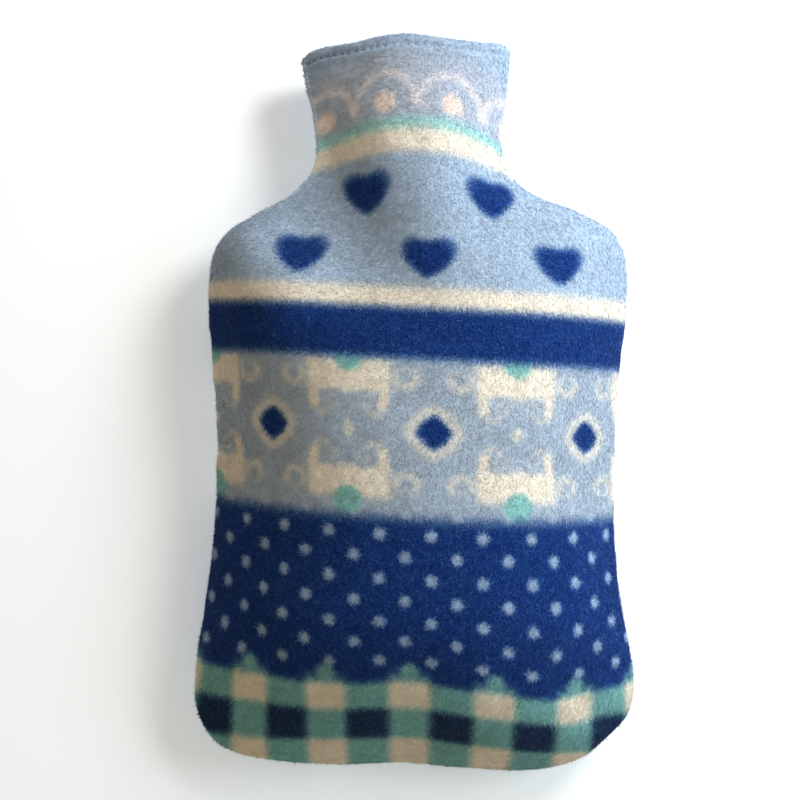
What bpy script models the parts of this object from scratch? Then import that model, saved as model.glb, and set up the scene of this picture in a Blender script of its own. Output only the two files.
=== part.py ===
"""Fleece cover for a hot water bottle, lying on its back and as plump as when it is filled.

Two panels of polar fleece have the bottle's outline, with shoulders and a neck. They are sewn
together round the sides and the bottom and turned, so that the seam is a groove at half height.
The neck ends in an open mouth with a turned hem, through which the bottle goes in.

X is the width, Y the length with the neck at +Y, and Z is up. The tables and constants are in
millimetres, and MM turns them into Blender's metres.
"""

import math
from collections import namedtuple

import bmesh
import bpy
from mathutils import Vector

MM = 0.001

# Cloth, hem and seam
CLOTH = 2.6            # thickness of the brushed fleece
HEM_WALL = 4.8         # the hem is two layers of it, stitched flat
HEM_WIDTH = 8.0        # how far the hem is turned in from the mouth
HEM_STEP = 1.6         # length over which the wall goes from double to single
MOUTH_ROUND = 1.2      # rounding of the hem's fold
SEAM_GAP = 0.3         # between the two panels along the seam
SEAM_ROLL = 2.0        # height of the rolled edge beside the seam
SEAM_INSET = 1.5       # how far inside the rolled edge the seam lies
SEAM_LAND = 2.8        # width of the face with which a panel meets the other
LINING_EDGE = 0.6      # from that face to the start of the panel's hollow side
LEAST_RISE = 0.1       # least height of the hollow side over that face

# Neck and bottom
MOUTH_NOD = math.radians(12.5)    # the neck nods, so the mouth's upper rim lies further out
NOD_LENGTH = 55.0                 # length of neck over which the nod fades out
BOTTOM_REACH = 84.0               # length over which the panels close towards the bottom seam
BOTTOM_POWER = 2.0                # how soon they level out above it
BOTTOM_BEND = 95.0                # length over which the rows take the bottom seam's curve
BOTTOM_STRETCH = 0.85             # step along the side for a step of 1 at the bottom seam
EDGE_POWER = 2.15                 # flattens the middle of every section
SETTLING = 2.5                    # height over which the back rounds off to where it lies flat
SWELL_FADE = 0.33                 # share of a section's rise over which a swell fades out

# Mesh
COLUMNS = 24           # across a panel, the rolled edges at both ends included
BODY_ROWS = 40         # from the hem to the bottom
EDGE_CROWDING = 0.55   # 0 spaces the columns evenly, 1 crowds them towards the seams
PROBE = 0.02           # step, as a share of the width, with which a slope is felt
STEEPEST = 2.4         # greatest ratio of a wall's upright thickness to its real one
LEAST_UPRIGHT = 0.5    # least share of the length in the side seam's run, at the shoulders

FRONT, BACK = 1, -1

# Each row is a section across the cover, from the mouth to the bottom corners. left and right are
# the X of the seams, seam their height, crown the front's rise above them, under the back's fall
# below them, and round makes a section full at its edges (0.5 is an ellipse, 1 a lens).
Section = namedtuple("Section", "y left right seam crown under round")
SECTIONS = (
    Section(160.5, -52.5, 44.5, 20.5, 17.0, 15.6, 0.72),
    Section(144.0, -49.5, 42.5, 21.6, 17.6, 15.4, 0.70),
    Section(129.0, -46.4, 40.4, 22.6, 18.4, 15.0, 0.68),
    Section(116.0, -45.0, 39.6, 23.2, 19.6, 15.0, 0.68),
    Section(107.0, -47.2, 42.4, 23.2, 21.2, 15.6, 0.70),
    Section(100.5, -52.4, 47.6, 22.8, 23.2, 17.0, 0.74),
    Section(94.0, -61.0, 59.0, 22.2, 25.8, 19.0, 0.78),
    Section(87.0, -74.0, 78.0, 21.4, 28.8, 21.4, 0.82),
    Section(79.5, -85.6, 90.4, 20.6, 31.6, 23.6, 0.85),
    Section(71.0, -92.2, 96.2, 20.0, 34.2, 25.4, 0.87),
    Section(56.0, -95.2, 98.2, 19.4, 37.2, 27.4, 0.88),
    Section(30.0, -94.6, 96.4, 19.0, 39.6, 28.6, 0.88),
    Section(0.0, -92.2, 93.4, 18.8, 40.8, 29.0, 0.88),
    Section(-30.0, -91.6, 92.2, 18.8, 41.2, 29.0, 0.88),
    Section(-60.0, -93.4, 92.4, 18.8, 41.4, 29.0, 0.88),
    Section(-90.0, -96.8, 95.2, 18.6, 41.4, 29.0, 0.88),
    Section(-114.0, -100.6, 99.2, 18.0, 41.2, 29.0, 0.88),
    Section(-134.0, -102.4, 101.6, 17.4, 40.4, 28.0, 0.88),
    Section(-145.0, -100.4, 98.4, 17.0, 39.6, 27.0, 0.88),
    Section(-152.0, -96.8, 92.2, 16.8, 38.6, 26.0, 0.88),
)

# The bottom seam, from corner to corner
SeamPoint = namedtuple("SeamPoint", "x y")
BOTTOM_SEAM = (
    SeamPoint(-96.8, -152.0),
    SeamPoint(-91.5, -158.0),
    SeamPoint(-82.0, -162.6),
    SeamPoint(-62.0, -166.0),
    SeamPoint(-38.0, -167.3),
    SeamPoint(-4.0, -166.6),
    SeamPoint(22.0, -168.8),
    SeamPoint(48.0, -170.4),
    SeamPoint(66.0, -168.4),
    SeamPoint(79.0, -163.4),
    SeamPoint(86.8, -157.0),
    SeamPoint(92.2, -152.0),
)

# Soft hollows (negative height) and swells of the filled front: the middle, half the length along
# turn and half the width across it, with turn in degrees anticlockwise from +X
Swell = namedtuple("Swell", "place x y along across turn height")
SWELLS = (
    Swell("left neck root", -40.0, 92.0, 30.0, 15.0, -38.0, -2.8),
    Swell("right neck root", 38.0, 95.0, 26.0, 13.0, 32.0, -2.0),
    Swell("left flank", -72.0, -14.0, 46.0, 17.0, 84.0, -1.6),
    Swell("right flank", 74.0, -26.0, 52.0, 16.0, 95.0, -1.4),
    Swell("bottom dip", -6.0, -152.0, 26.0, 13.0, 4.0, -1.8),
    Swell("bottom swell", 48.0, -148.0, 30.0, 16.0, -6.0, 1.6),
    Swell("left corner crease", -80.0, -140.0, 24.0, 7.0, 42.0, -1.7),
    Swell("right corner crease", 80.0, -139.0, 25.0, 7.0, -44.0, -1.7),
)


def spline(knots, values, at):
    """Read a smooth curve through the values at the knots, where each knot has the slope of the
    parabola through it and its neighbours."""
    last = len(knots) - 1
    at = min(max(at, knots[0]), knots[-1])
    k = 0
    while k < last - 1 and at > knots[k + 1]:
        k += 1

    def slope(i):
        before, after = max(i - 1, 0), min(i + 1, last)
        chord = (values[after] - values[before]) / (knots[after] - knots[before])
        if before == i or after == i:
            return chord
        rise_in = (values[i] - values[before]) / (knots[i] - knots[before])
        rise_out = (values[after] - values[i]) / (knots[after] - knots[i])
        return rise_in + rise_out - chord

    span = knots[k + 1] - knots[k]
    t = (at - knots[k]) / span
    start = (2 * t**3 - 3 * t**2 + 1) * values[k] + (t**3 - 2 * t**2 + t) * span * slope(k)
    end = (3 * t**2 - 2 * t**3) * values[k + 1] + (t**3 - t**2) * span * slope(k + 1)
    return start + end


def running_lengths(points):
    """Lengths along a chain of points, from 0."""
    lengths = [0.0]
    for start, end in zip(points, points[1:]):
        lengths.append(lengths[-1] + math.dist(start, end))
    return lengths


SIDE_KNOTS = running_lengths([((s.right - s.left) / 2, s.y) for s in SECTIONS])
SIDE_LENGTH = SIDE_KNOTS[-1]
BOTTOM_KNOTS = running_lengths(BOTTOM_SEAM)


def section_at(along):
    """The section at a length along the side seam, measured from the mouth."""
    return Section(*(spline(SIDE_KNOTS, column, along) for column in zip(*SECTIONS)))


def bottom_at(across):
    """The bottom seam's point, for across from -1 at the left corner to 1 at the right one."""
    along = (across + 1) / 2 * BOTTOM_KNOTS[-1]
    return Vector([spline(BOTTOM_KNOTS, column, along) for column in zip(*BOTTOM_SEAM)])


def plan(across, along):
    """Where a point of a panel lies in the plan view."""
    section = section_at(along)
    share = (across + 1) / 2
    point = Vector((section.left + (section.right - section.left) * share, section.y))
    bend = max(0.0, 1 - (SIDE_LENGTH - along) / BOTTOM_BEND) ** 2
    corners = Vector(BOTTOM_SEAM[0]).lerp(Vector(BOTTOM_SEAM[-1]), share)
    return point + bend * (bottom_at(across) - corners)


def inward(across, along, inset):
    """Move a point's place on the panel towards the middle, by inset at the seam."""
    section, further = section_at(along), section_at(along + 1)
    upright = max(section.y - further.y, LEAST_UPRIGHT)
    half = (section.right - section.left) / 2
    stretch = BOTTOM_STRETCH / SIDE_LENGTH
    return across * (1 - inset / (upright * half)), along * (1 - inset * stretch)


def swell_height(point):
    """The height that the soft hollows and swells add over a point of the plan."""
    total = 0.0
    for swell in SWELLS:
        turn = math.radians(swell.turn)
        dx, dy = point.x - swell.x, point.y - swell.y
        along = (dx * math.cos(turn) + dy * math.sin(turn)) / swell.along
        across = (dy * math.cos(turn) - dx * math.sin(turn)) / swell.across
        total += swell.height * math.exp(-along**2 - across**2)
    return total


def outer_height(side, across, along):
    """Height of a panel's outer skin, with the back not yet flattened by what it lies on."""
    section = section_at(along)
    point = plan(across, along)
    closing = max(0.0, 1 - (bottom_at(across) - point).length / BOTTOM_REACH)
    lens = max(0.0, 1 - abs(across) ** EDGE_POWER)
    full = (lens * (1 - closing**BOTTOM_POWER)) ** section.round
    edge = SEAM_GAP / 2 + SEAM_ROLL
    if side == BACK:
        return section.seam - edge - section.under * full
    swell = swell_height(point) * min(1.0, full / SWELL_FADE)
    return section.seam + edge + section.crown * full + swell


def wall_steepness(side, across, along):
    """Ratio of the wall's upright thickness to its real one, from the skin's slope."""
    across = min(max(across, PROBE - 1), 1 - PROBE)
    section = section_at(along)
    step = PROBE * (section.right - section.left) / 2
    along = min(max(along, step), SIDE_LENGTH - step)
    rise_across = (outer_height(side, across + PROBE, along)
                   - outer_height(side, across - PROBE, along))
    rise_along = (outer_height(side, across, along + step)
                  - outer_height(side, across, along - step))
    run_along = (plan(across, along + step) - plan(across, along - step)).length
    slope = math.hypot(rise_across / (2 * step), rise_along / run_along)
    return min(math.hypot(1.0, slope), STEEPEST)


def wall_at(along):
    """Thickness of the cloth at a length from the mouth, double in the hem."""
    step = min(max((along - HEM_WIDTH) / HEM_STEP, 0.0), 1.0)
    return HEM_WALL + (CLOTH - HEM_WALL) * step


def nodding(point, height, along):
    """The point at its height, moved with the neck as it nods."""
    nod = math.tan(MOUTH_NOD) * max(0.0, 1 - along / NOD_LENGTH)
    section = section_at(along)
    return Vector((point.x, point.y + (height - section.seam) * nod, height))


def settled(height):
    """A height of the back, rounded off to zero where it would go below what it lies on."""
    if height < SETTLING:
        return max(height + SETTLING, 0.0) ** 2 / (4 * SETTLING)
    return height


def skin_point(side, across, along, inset=0.0, depth=0.0, rounding=0.0):
    """A point of a panel: on its outer skin, or inset from the seams and depth below the skin.

    Rounding takes it towards the middle of the wall.
    """
    across, along = inward(across, along, inset)
    height = outer_height(side, across, along)
    land = section_at(along).seam + side * (SEAM_GAP / 2 + LEAST_RISE)
    upright = depth * wall_steepness(side, across, along)
    rounding = -rounding if depth else rounding
    if side == FRONT:
        height = max(height - upright - rounding, land)
    else:
        height = min(settled(height + upright - depth) + depth + rounding, land)
    return nodding(plan(across, along), height, along)


def seam_point(side, across, along, inset):
    """A point of the face with which a panel meets the other."""
    across, along = inward(across, along, inset)
    height = section_at(along).seam + side * SEAM_GAP / 2
    return nodding(plan(across, along), height, along)


def column_places():
    """The places across the panel, -1 at the left seam and 1 at the right one."""
    steps = COLUMNS - 2
    even = [2 * i / steps - 1 for i in range(steps + 1)]
    return [x + (math.sin(math.pi / 2 * x) - x) * EDGE_CROWDING for x in even]


def row_places():
    """The lengths along the side seam at which the panel has its rows."""
    hem_end = HEM_WIDTH + HEM_STEP
    body = [hem_end + (SIDE_LENGTH - hem_end) * j / BODY_ROWS for j in range(BODY_ROWS + 1)]
    return [0.0, MOUTH_ROUND, HEM_WIDTH] + body


def add_skin(bm, side, is_inside):
    """Add a panel's outer or inner skin to the mesh, as a grid with the seam at its edge.

    Returns the edges round it.
    """
    across_places, along_places = column_places(), row_places()
    columns, rows = COLUMNS, len(along_places)
    seam_inset = SEAM_INSET + (SEAM_LAND if is_inside else 0.0)
    skin_inset = seam_inset + LINING_EDGE if is_inside else 0.0
    grid = bmesh.ops.create_grid(bm, x_segments=columns, y_segments=rows, size=0.5)["verts"]
    for vert in grid:
        column = round((vert.co.x + 0.5) * columns)
        row = round((0.5 - vert.co.y) * rows)
        across = across_places[min(max(column - 1, 0), columns - 2)]
        along = along_places[min(row, rows - 1)]
        if column in (0, columns) or row == rows:
            vert.co = seam_point(side, across, along, seam_inset)
            continue
        rounding = max(0.0, MOUTH_ROUND - along)
        depth = wall_at(along) if is_inside else 0.0
        vert.co = skin_point(side, across, along, skin_inset, depth, rounding)
    edges = {edge for vert in grid for edge in vert.link_edges}
    return [edge for edge in edges if edge.is_boundary]


def add_panel(name, side, material, collection, parent):
    """Make one panel of the cover: two skins, joined along the seam and round the mouth."""
    bm = bmesh.new()
    rims = add_skin(bm, side, False) + add_skin(bm, side, True)
    bmesh.ops.bridge_loops(bm, edges=rims)
    bmesh.ops.recalc_face_normals(bm, faces=bm.faces)
    bmesh.ops.scale(bm, vec=(MM, MM, MM), verts=bm.verts)
    mesh = bpy.data.meshes.new(name)
    bm.to_mesh(mesh)
    bm.free()
    mesh.shade_smooth()
    mesh.materials.append(material)
    panel = bpy.data.objects.new(name, mesh)
    panel.parent = parent
    collection.objects.link(panel)
    return panel


def fleece(name, colour):
    """Matt polar fleece of one colour, for the print as seen from far off."""
    material = bpy.data.materials.new(name)
    material.use_nodes = True
    shader = material.node_tree.nodes["Principled BSDF"]
    shader.inputs["Base Color"].default_value = (*colour, 1.0)
    shader.inputs["Roughness"].default_value = 0.95
    shader.inputs["Metallic"].default_value = 0.0
    return material


def centre_of(panels):
    """The middle of the panels' common box in the plan view, in metres."""
    points = [vertex.co for panel in panels for vertex in panel.data.vertices]
    xs, ys = [p.x for p in points], [p.y for p in points]
    return Vector(((min(xs) + max(xs)) / 2, (min(ys) + max(ys)) / 2, 0.0))


def main():
    """Clear the scene and make the cover's two panels, centred over the origin."""
    for old in list(bpy.data.objects):
        bpy.data.objects.remove(old, do_unlink=True)
    collection = bpy.data.collections.new("hot_water_bottle_cover")
    bpy.context.scene.collection.children.link(collection)
    cover = bpy.data.objects.new("cover", None)
    collection.objects.link(cover)
    panels = [
        add_panel("front_panel", FRONT, fleece("blue_fleece_front", (0.20, 0.30, 0.55)),
                  collection, cover),
        add_panel("back_panel", BACK, fleece("blue_fleece_back", (0.17, 0.26, 0.50)),
                  collection, cover),
    ]
    cover.location = -centre_of(panels)


main()
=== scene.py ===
"""Fleece cover for a hot water bottle, dressed for the camera.

The cover lies on its back and is as plump as when it is filled. Its two panels take the form of the
frame's solids on a finer mesh, with the rolled edge beside the seam, the turned hem and its
stitching. Each carries a brushed nap of short fibres and the printed pattern, which is drawn in
millimetres on the cloth laid flat.

X is the width, Y the length with the neck at +Y, and Z is up. Sizes are in millimetres, and MM
turns them into Blender's metres.
"""

from __future__ import annotations

import logging
import math
from dataclasses import dataclass, field
from enum import Enum
from functools import reduce
from typing import Any, Mapping, NamedTuple, Sequence

import bpy
import numpy as np
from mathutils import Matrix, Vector

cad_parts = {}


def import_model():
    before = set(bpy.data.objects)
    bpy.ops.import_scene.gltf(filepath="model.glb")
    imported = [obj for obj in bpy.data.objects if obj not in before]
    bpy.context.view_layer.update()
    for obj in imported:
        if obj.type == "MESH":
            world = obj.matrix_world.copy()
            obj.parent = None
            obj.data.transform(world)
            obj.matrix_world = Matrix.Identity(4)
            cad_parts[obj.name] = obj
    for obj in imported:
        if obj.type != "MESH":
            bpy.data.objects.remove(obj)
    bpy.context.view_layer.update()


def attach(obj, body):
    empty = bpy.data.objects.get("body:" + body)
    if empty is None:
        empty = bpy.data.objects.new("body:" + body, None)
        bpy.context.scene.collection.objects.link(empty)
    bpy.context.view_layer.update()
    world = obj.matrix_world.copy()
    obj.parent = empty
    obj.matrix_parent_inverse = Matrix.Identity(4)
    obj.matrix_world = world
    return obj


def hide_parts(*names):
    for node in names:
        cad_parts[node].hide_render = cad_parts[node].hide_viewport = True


LOG = logging.getLogger("bottle_cover")
MM = 0.001
LATTICE = 64                      # cells after which the soft random heights repeat


def unit(vectors: np.ndarray) -> np.ndarray:
    """The vectors on the last axis, at a length of 1."""
    return vectors / np.maximum(np.linalg.norm(vectors, axis=-1, keepdims=True), 1e-9)


def running(points: np.ndarray, axis: int = 0) -> np.ndarray:
    """Lengths along chains of points.

    Args:
        points: The points, with their coordinates on the last axis.
        axis: The axis along which a chain runs.

    Returns:
        How far along its chain each point lies, from 0 at the first.
    """
    steps = np.linalg.norm(np.diff(points, axis=axis), axis=-1)
    return np.insert(np.cumsum(steps, axis=axis), 0, 0.0, axis=axis)


def in_scene(name: str, data: bpy.types.ID) -> bpy.types.Object:
    """Puts a mesh, a light or a camera in the scene.

    Args:
        name: The object's name.
        data: What it shows.

    Returns:
        The object.
    """
    thing = bpy.data.objects.new(name, data)
    bpy.context.scene.collection.objects.link(thing)
    return thing


class Side(Enum):
    """Which panel of the cover, and which way it bulges from the seam."""

    FRONT = 1
    BACK = -1


# ---------------------------------------------------------------------------------------------
# Form
# ---------------------------------------------------------------------------------------------


class Section(NamedTuple):
    """A section across the cover, or an array of them: its seams' X and height, the panels' rise."""

    y: float | np.ndarray
    left: float | np.ndarray
    right: float | np.ndarray
    seam: float | np.ndarray
    crown: float | np.ndarray
    under: float | np.ndarray
    round: float | np.ndarray     # power of the section's curve, fuller where it is small


SECTIONS: tuple[Section, ...] = (
    Section(160.5, -52.5, 44.5, 20.5, 17.0, 15.6, 0.72),
    Section(144.0, -49.5, 42.5, 21.6, 17.6, 15.4, 0.70),
    Section(129.0, -46.4, 40.4, 22.6, 18.4, 15.0, 0.68),
    Section(116.0, -45.0, 39.6, 23.2, 19.6, 15.0, 0.68),
    Section(107.0, -47.2, 42.4, 23.2, 21.2, 15.6, 0.70),
    Section(100.5, -52.4, 47.6, 22.8, 23.2, 17.0, 0.74),
    Section(94.0, -61.0, 59.0, 22.2, 25.8, 19.0, 0.78),
    Section(87.0, -74.0, 78.0, 21.4, 28.8, 21.4, 0.82),
    Section(79.5, -85.6, 90.4, 20.6, 31.6, 23.6, 0.85),
    Section(71.0, -92.2, 96.2, 20.0, 34.2, 25.4, 0.87),
    Section(56.0, -95.2, 98.2, 19.4, 37.2, 27.4, 0.88),
    Section(30.0, -94.6, 96.4, 19.0, 39.6, 28.6, 0.88),
    Section(0.0, -92.2, 93.4, 18.8, 40.8, 29.0, 0.88),
    Section(-30.0, -91.6, 92.2, 18.8, 41.2, 29.0, 0.88),
    Section(-60.0, -93.4, 92.4, 18.8, 41.4, 29.0, 0.88),
    Section(-90.0, -96.8, 95.2, 18.6, 41.4, 29.0, 0.88),
    Section(-114.0, -100.6, 99.2, 18.0, 41.2, 29.0, 0.88),
    Section(-134.0, -102.4, 101.6, 17.4, 40.4, 28.0, 0.88),
    Section(-145.0, -100.4, 98.4, 17.0, 39.6, 27.0, 0.88),
    Section(-152.0, -96.8, 92.2, 16.8, 38.6, 26.0, 0.88),
)


class SeamPoint(NamedTuple):
    """A point of the bottom seam in the plan view."""

    x: float
    y: float


BOTTOM_SEAM: tuple[SeamPoint, ...] = (
    SeamPoint(-96.8, -152.0),
    SeamPoint(-91.5, -158.0),
    SeamPoint(-82.0, -162.6),
    SeamPoint(-62.0, -166.0),
    SeamPoint(-38.0, -167.3),
    SeamPoint(-4.0, -166.6),
    SeamPoint(22.0, -168.8),
    SeamPoint(48.0, -170.4),
    SeamPoint(66.0, -168.4),
    SeamPoint(79.0, -163.4),
    SeamPoint(86.8, -157.0),
    SeamPoint(92.2, -152.0),
)


class MouthPoint(NamedTuple):
    """How far the mouth's edge reaches out of line at a place across the neck."""

    across: float
    out: float


MOUTH_LINE: tuple[MouthPoint, ...] = (
    MouthPoint(-1.0, -1.8),
    MouthPoint(-0.93, 0.1),
    MouthPoint(-0.8, 1.0),
    MouthPoint(-0.5, 0.5),
    MouthPoint(-0.2, 1.4),
    MouthPoint(0.05, 1.3),
    MouthPoint(0.3, -0.2),
    MouthPoint(0.56, -0.3),
    MouthPoint(0.72, 0.5),
    MouthPoint(0.88, 2.4),
    MouthPoint(1.0, 1.2),
)


class Swell(NamedTuple):
    """A soft hollow (negative height) or swell: its middle, half sizes, turn in degrees."""

    x: float
    y: float
    along: float
    across: float
    turn: float
    height: float


SWELLS: dict[str, Swell] = {
    "left neck root": Swell(-39.0, 83.0, 38.0, 24.0, -50.0, -17.0),
    "foot of the neck root": Swell(-58.0, 84.0, 17.0, 22.0, -6.0, -4.5),
    "left of the neck": Swell(-38.0, 134.0, 40.0, 22.0, 82.0, -5.5),
    "neck ridge": Swell(12.0, 94.0, 32.0, 16.0, 88.0, 2.5),
    "right neck root": Swell(36.0, 107.0, 20.0, 15.0, 20.0, 2.6),
    "right shoulder": Swell(47.0, 76.0, 30.0, 22.0, -10.0, -4.5),
    "left ridge": Swell(-70.0, 42.0, 46.0, 24.0, 88.0, 3.6),
    "middle": Swell(2.0, 42.0, 44.0, 17.0, 80.0, -1.2),
    "right ridge": Swell(62.0, 44.0, 40.0, 24.0, 92.0, 2.2),
    "lower ridge": Swell(42.0, -90.0, 50.0, 38.0, 90.0, 2.6),
    "left flank": Swell(-72.0, -14.0, 46.0, 17.0, 84.0, -1.6),
    "right flank": Swell(74.0, -26.0, 52.0, 16.0, 95.0, -1.4),
    "bottom dip": Swell(-6.0, -152.0, 26.0, 13.0, 4.0, -1.8),
    "bottom swell": Swell(48.0, -148.0, 30.0, 16.0, -6.0, 1.6),
    "left corner crease": Swell(-80.0, -140.0, 24.0, 7.0, 42.0, -1.7),
    "right corner crease": Swell(80.0, -139.0, 25.0, 7.0, -44.0, -1.7),
}


@dataclass(frozen=True)
class Curve:
    """A smooth curve through rows of values, with a parabola's slope at each knot."""

    knots: np.ndarray
    values: np.ndarray
    slopes: np.ndarray

    @classmethod
    def through(cls, knots: Sequence[float], values: Sequence[Sequence[float]]) -> Curve:
        """Fits the slopes.

        Args:
            knots: Rising places along the curve.
            values: A row of values for each knot.

        Returns:
            The curve.
        """
        k = np.asarray(knots, float)
        v = np.asarray(values, float)
        rise = np.diff(v, axis=0) / np.diff(k)[:, None]
        chord = (v[2:] - v[:-2]) / (k[2:] - k[:-2])[:, None]
        slopes = np.concatenate((rise[:1], rise[:-1] + rise[1:] - chord, rise[-1:]))
        return cls(k, v, slopes)

    @classmethod
    def by_length(cls, points: Sequence[Sequence[float]], over: Sequence[Sequence[float]]) -> Curve:
        """Lays the points along the curve by the length of the chain that `over` gives.

        Args:
            points: A row of values for each knot.
            over: The chain of points whose running length places the knots.

        Returns:
            The curve.
        """
        return cls.through(running(np.asarray(over, float)), points)

    @property
    def length(self) -> float:
        """The last knot's place."""
        return float(self.knots[-1])

    def at(self, places: np.ndarray) -> np.ndarray:
        """Reads the curve.

        Args:
            places: Where to read it, held to its ends.

        Returns:
            The values, on a new last axis.
        """
        x = np.clip(places, self.knots[0], self.knots[-1])
        k = np.clip(np.searchsorted(self.knots, x, side="right") - 1, 0, len(self.knots) - 2)
        span = (self.knots[k + 1] - self.knots[k])[..., None]
        t = (x - self.knots[k])[..., None] / span
        start = (2 * t**3 - 3 * t**2 + 1) * self.values[k]
        start = start + (t**3 - 2 * t**2 + t) * span * self.slopes[k]
        end = (3 * t**2 - 2 * t**3) * self.values[k + 1]
        return start + end + (t**3 - t**2) * span * self.slopes[k + 1]


@dataclass(frozen=True)
class CoverForm:
    """The form in which the filled cover lies, as the frame's solids have it."""

    cloth: float = 2.6            # thickness of the brushed fleece
    hem_wall: float = 4.8         # the hem is two layers of it
    hem_width: float = 8.0
    hem_step: float = 1.6         # length over which the hem's wall thins to one layer
    seam_gap: float = 0.3         # between the two panels
    seam_roll: float = 2.0        # height of the rolled edge beside the seam
    seam_inset: float = 1.5       # how far the roll turns in under the skin
    seam_land: float = 2.8        # width of the flat on which the panels meet
    lining_edge: float = 0.6
    least_rise: float = 0.1
    mouth_nod: float = math.radians(12.5)
    nod_length: float = 55.0
    bottom_reach: float = 84.0    # from the bottom seam to where the cover is at its full height
    bottom_power: float = 2.0
    bottom_bend: float = 95.0     # length over which the rows take the bottom seam's bend
    bottom_stretch: float = 0.85
    edge_power: float = 2.15      # over 2, the cover is fuller beside its seams than a lens
    settling: float = 2.5         # height under which the back goes flat on the table
    swell_room: float = 0.8       # share of the form's height that a hollow can take
    least_room: float = 1e-6
    probe: float = 0.02           # half the share of the width over which a slope is measured
    steepest: float = 2.4
    frame_shift: tuple[float, float] = (0.357, 2.986)     # from the table's middle to the frame's
    least_upright: float = 0.5
    side_line: Curve = field(default_factory=lambda: Curve.by_length(
        SECTIONS, [((s.right - s.left) / 2, s.y) for s in SECTIONS]))
    bottom_line: Curve = field(default_factory=lambda: Curve.by_length(BOTTOM_SEAM, BOTTOM_SEAM))
    mouth_line: Curve = field(default_factory=lambda: Curve.through(
        [p.across for p in MOUTH_LINE], [[p.out] for p in MOUTH_LINE]))
    mouth_reach: float = 22.0     # length from the mouth over which its uneven edge evens out

    @property
    def length(self) -> float:
        """Length of the side seam, from the mouth to the bottom corner."""
        return self.side_line.length

    def section(self, along: np.ndarray) -> Section:
        """The section at a length along the side seam, measured from the mouth."""
        return Section(*np.moveaxis(self.side_line.at(along), -1, 0))

    def bottom(self, across: np.ndarray) -> np.ndarray:
        """The bottom seam's point, for across from -1 at the left corner to 1."""
        return self.bottom_line.at((across + 1) / 2 * self.bottom_line.length)

    def plan(self, across: np.ndarray, along: np.ndarray) -> np.ndarray:
        """Where a place of a panel lies in the plan view.

        Args:
            across: Places across it, from -1 to 1.
            along: Lengths from the mouth.

        Returns:
            X and Y, on a new last axis.
        """
        section = self.section(along)
        share = (across + 1) / 2
        x = section.left + (section.right - section.left) * share
        bend = np.maximum(0.0, 1 - (self.length - along) / self.bottom_bend)[..., None] ** 2
        left, right = np.array(BOTTOM_SEAM[0]), np.array(BOTTOM_SEAM[-1])
        corners = left + (right - left) * share[..., None]
        out = self.mouth_line.at(across)[..., 0] * np.maximum(0.0, 1 - along / self.mouth_reach) ** 2
        return np.stack((x, section.y + out), axis=-1) + bend * (self.bottom(across) - corners)

    def inward(self, across: np.ndarray, along: np.ndarray,
               inset: np.ndarray) -> tuple[np.ndarray, np.ndarray]:
        """Moves a place on the panel towards the middle.

        Args:
            across: Places across it.
            along: Lengths from the mouth.
            inset: How far it moves where it is at the seam.

        Returns:
            The new places and lengths.
        """
        section, further = self.section(along), self.section(along + 1)
        upright = np.maximum(section.y - further.y, self.least_upright)
        half = (section.right - section.left) / 2
        stretch = self.bottom_stretch / self.length
        return across * (1 - inset / (upright * half)), along * (1 - inset * stretch)

    def swell(self, point: np.ndarray) -> np.ndarray:
        """The height that the soft hollows and swells add.

        Args:
            point: Points of the plan view.

        Returns:
            The heights.
        """
        total = np.zeros(point.shape[:-1])
        for swell in SWELLS.values():
            turn = math.radians(swell.turn)
            dx, dy = point[..., 0] - swell.x, point[..., 1] - swell.y
            along = (dx * math.cos(turn) + dy * math.sin(turn)) / swell.along
            across = (dy * math.cos(turn) - dx * math.sin(turn)) / swell.across
            total += swell.height * np.exp(-along**2 - across**2)
        return total

    def outer_height(self, side: Side, across: np.ndarray, along: np.ndarray) -> np.ndarray:
        """Height of a panel's outer skin, before what it lies on flattens the back.

        Args:
            side: The panel.
            across: Places across it.
            along: Lengths from the mouth.

        Returns:
            The heights.
        """
        section = self.section(along)
        point = self.plan(across, along)
        off = np.linalg.norm(self.bottom(across) - point, axis=-1)
        closing = np.maximum(0.0, 1 - off / self.bottom_reach)
        lens = np.maximum(0.0, 1 - np.abs(across) ** self.edge_power)
        full = (lens * (1 - closing**self.bottom_power)) ** section.round
        edge = self.seam_gap / 2 + self.seam_roll
        if side is Side.BACK:
            return section.seam - edge - section.under * full
        room = self.swell_room * section.crown * full + self.least_room
        swell = room * np.tanh(self.swell(point) / room)
        return section.seam + edge + section.crown * full + swell

    def steepness(self, side: Side, across: np.ndarray, along: np.ndarray) -> np.ndarray:
        """Ratio of the wall's upright thickness to its real one.

        Args:
            side: The panel.
            across: Places across it.
            along: Lengths from the mouth.

        Returns:
            The ratios, from 1 on the level.
        """
        across = np.clip(across, self.probe - 1, 1 - self.probe)
        section = self.section(along)
        step = self.probe * (section.right - section.left) / 2
        along = np.clip(along, step, self.length - step)
        rise_across = (self.outer_height(side, across + self.probe, along)
                       - self.outer_height(side, across - self.probe, along))
        rise_along = (self.outer_height(side, across, along + step)
                      - self.outer_height(side, across, along - step))
        run = np.linalg.norm(self.plan(across, along + step) - self.plan(across, along - step),
                             axis=-1)
        slope = np.hypot(rise_across / (2 * step), rise_along / run)
        return np.minimum(np.hypot(1.0, slope), self.steepest)

    def wall(self, along: np.ndarray) -> np.ndarray:
        """Thickness of the cloth at a length from the mouth, double in the hem."""
        step = np.clip((along - self.hem_width) / self.hem_step, 0.0, 1.0)
        return self.hem_wall + (self.cloth - self.hem_wall) * step

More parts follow.
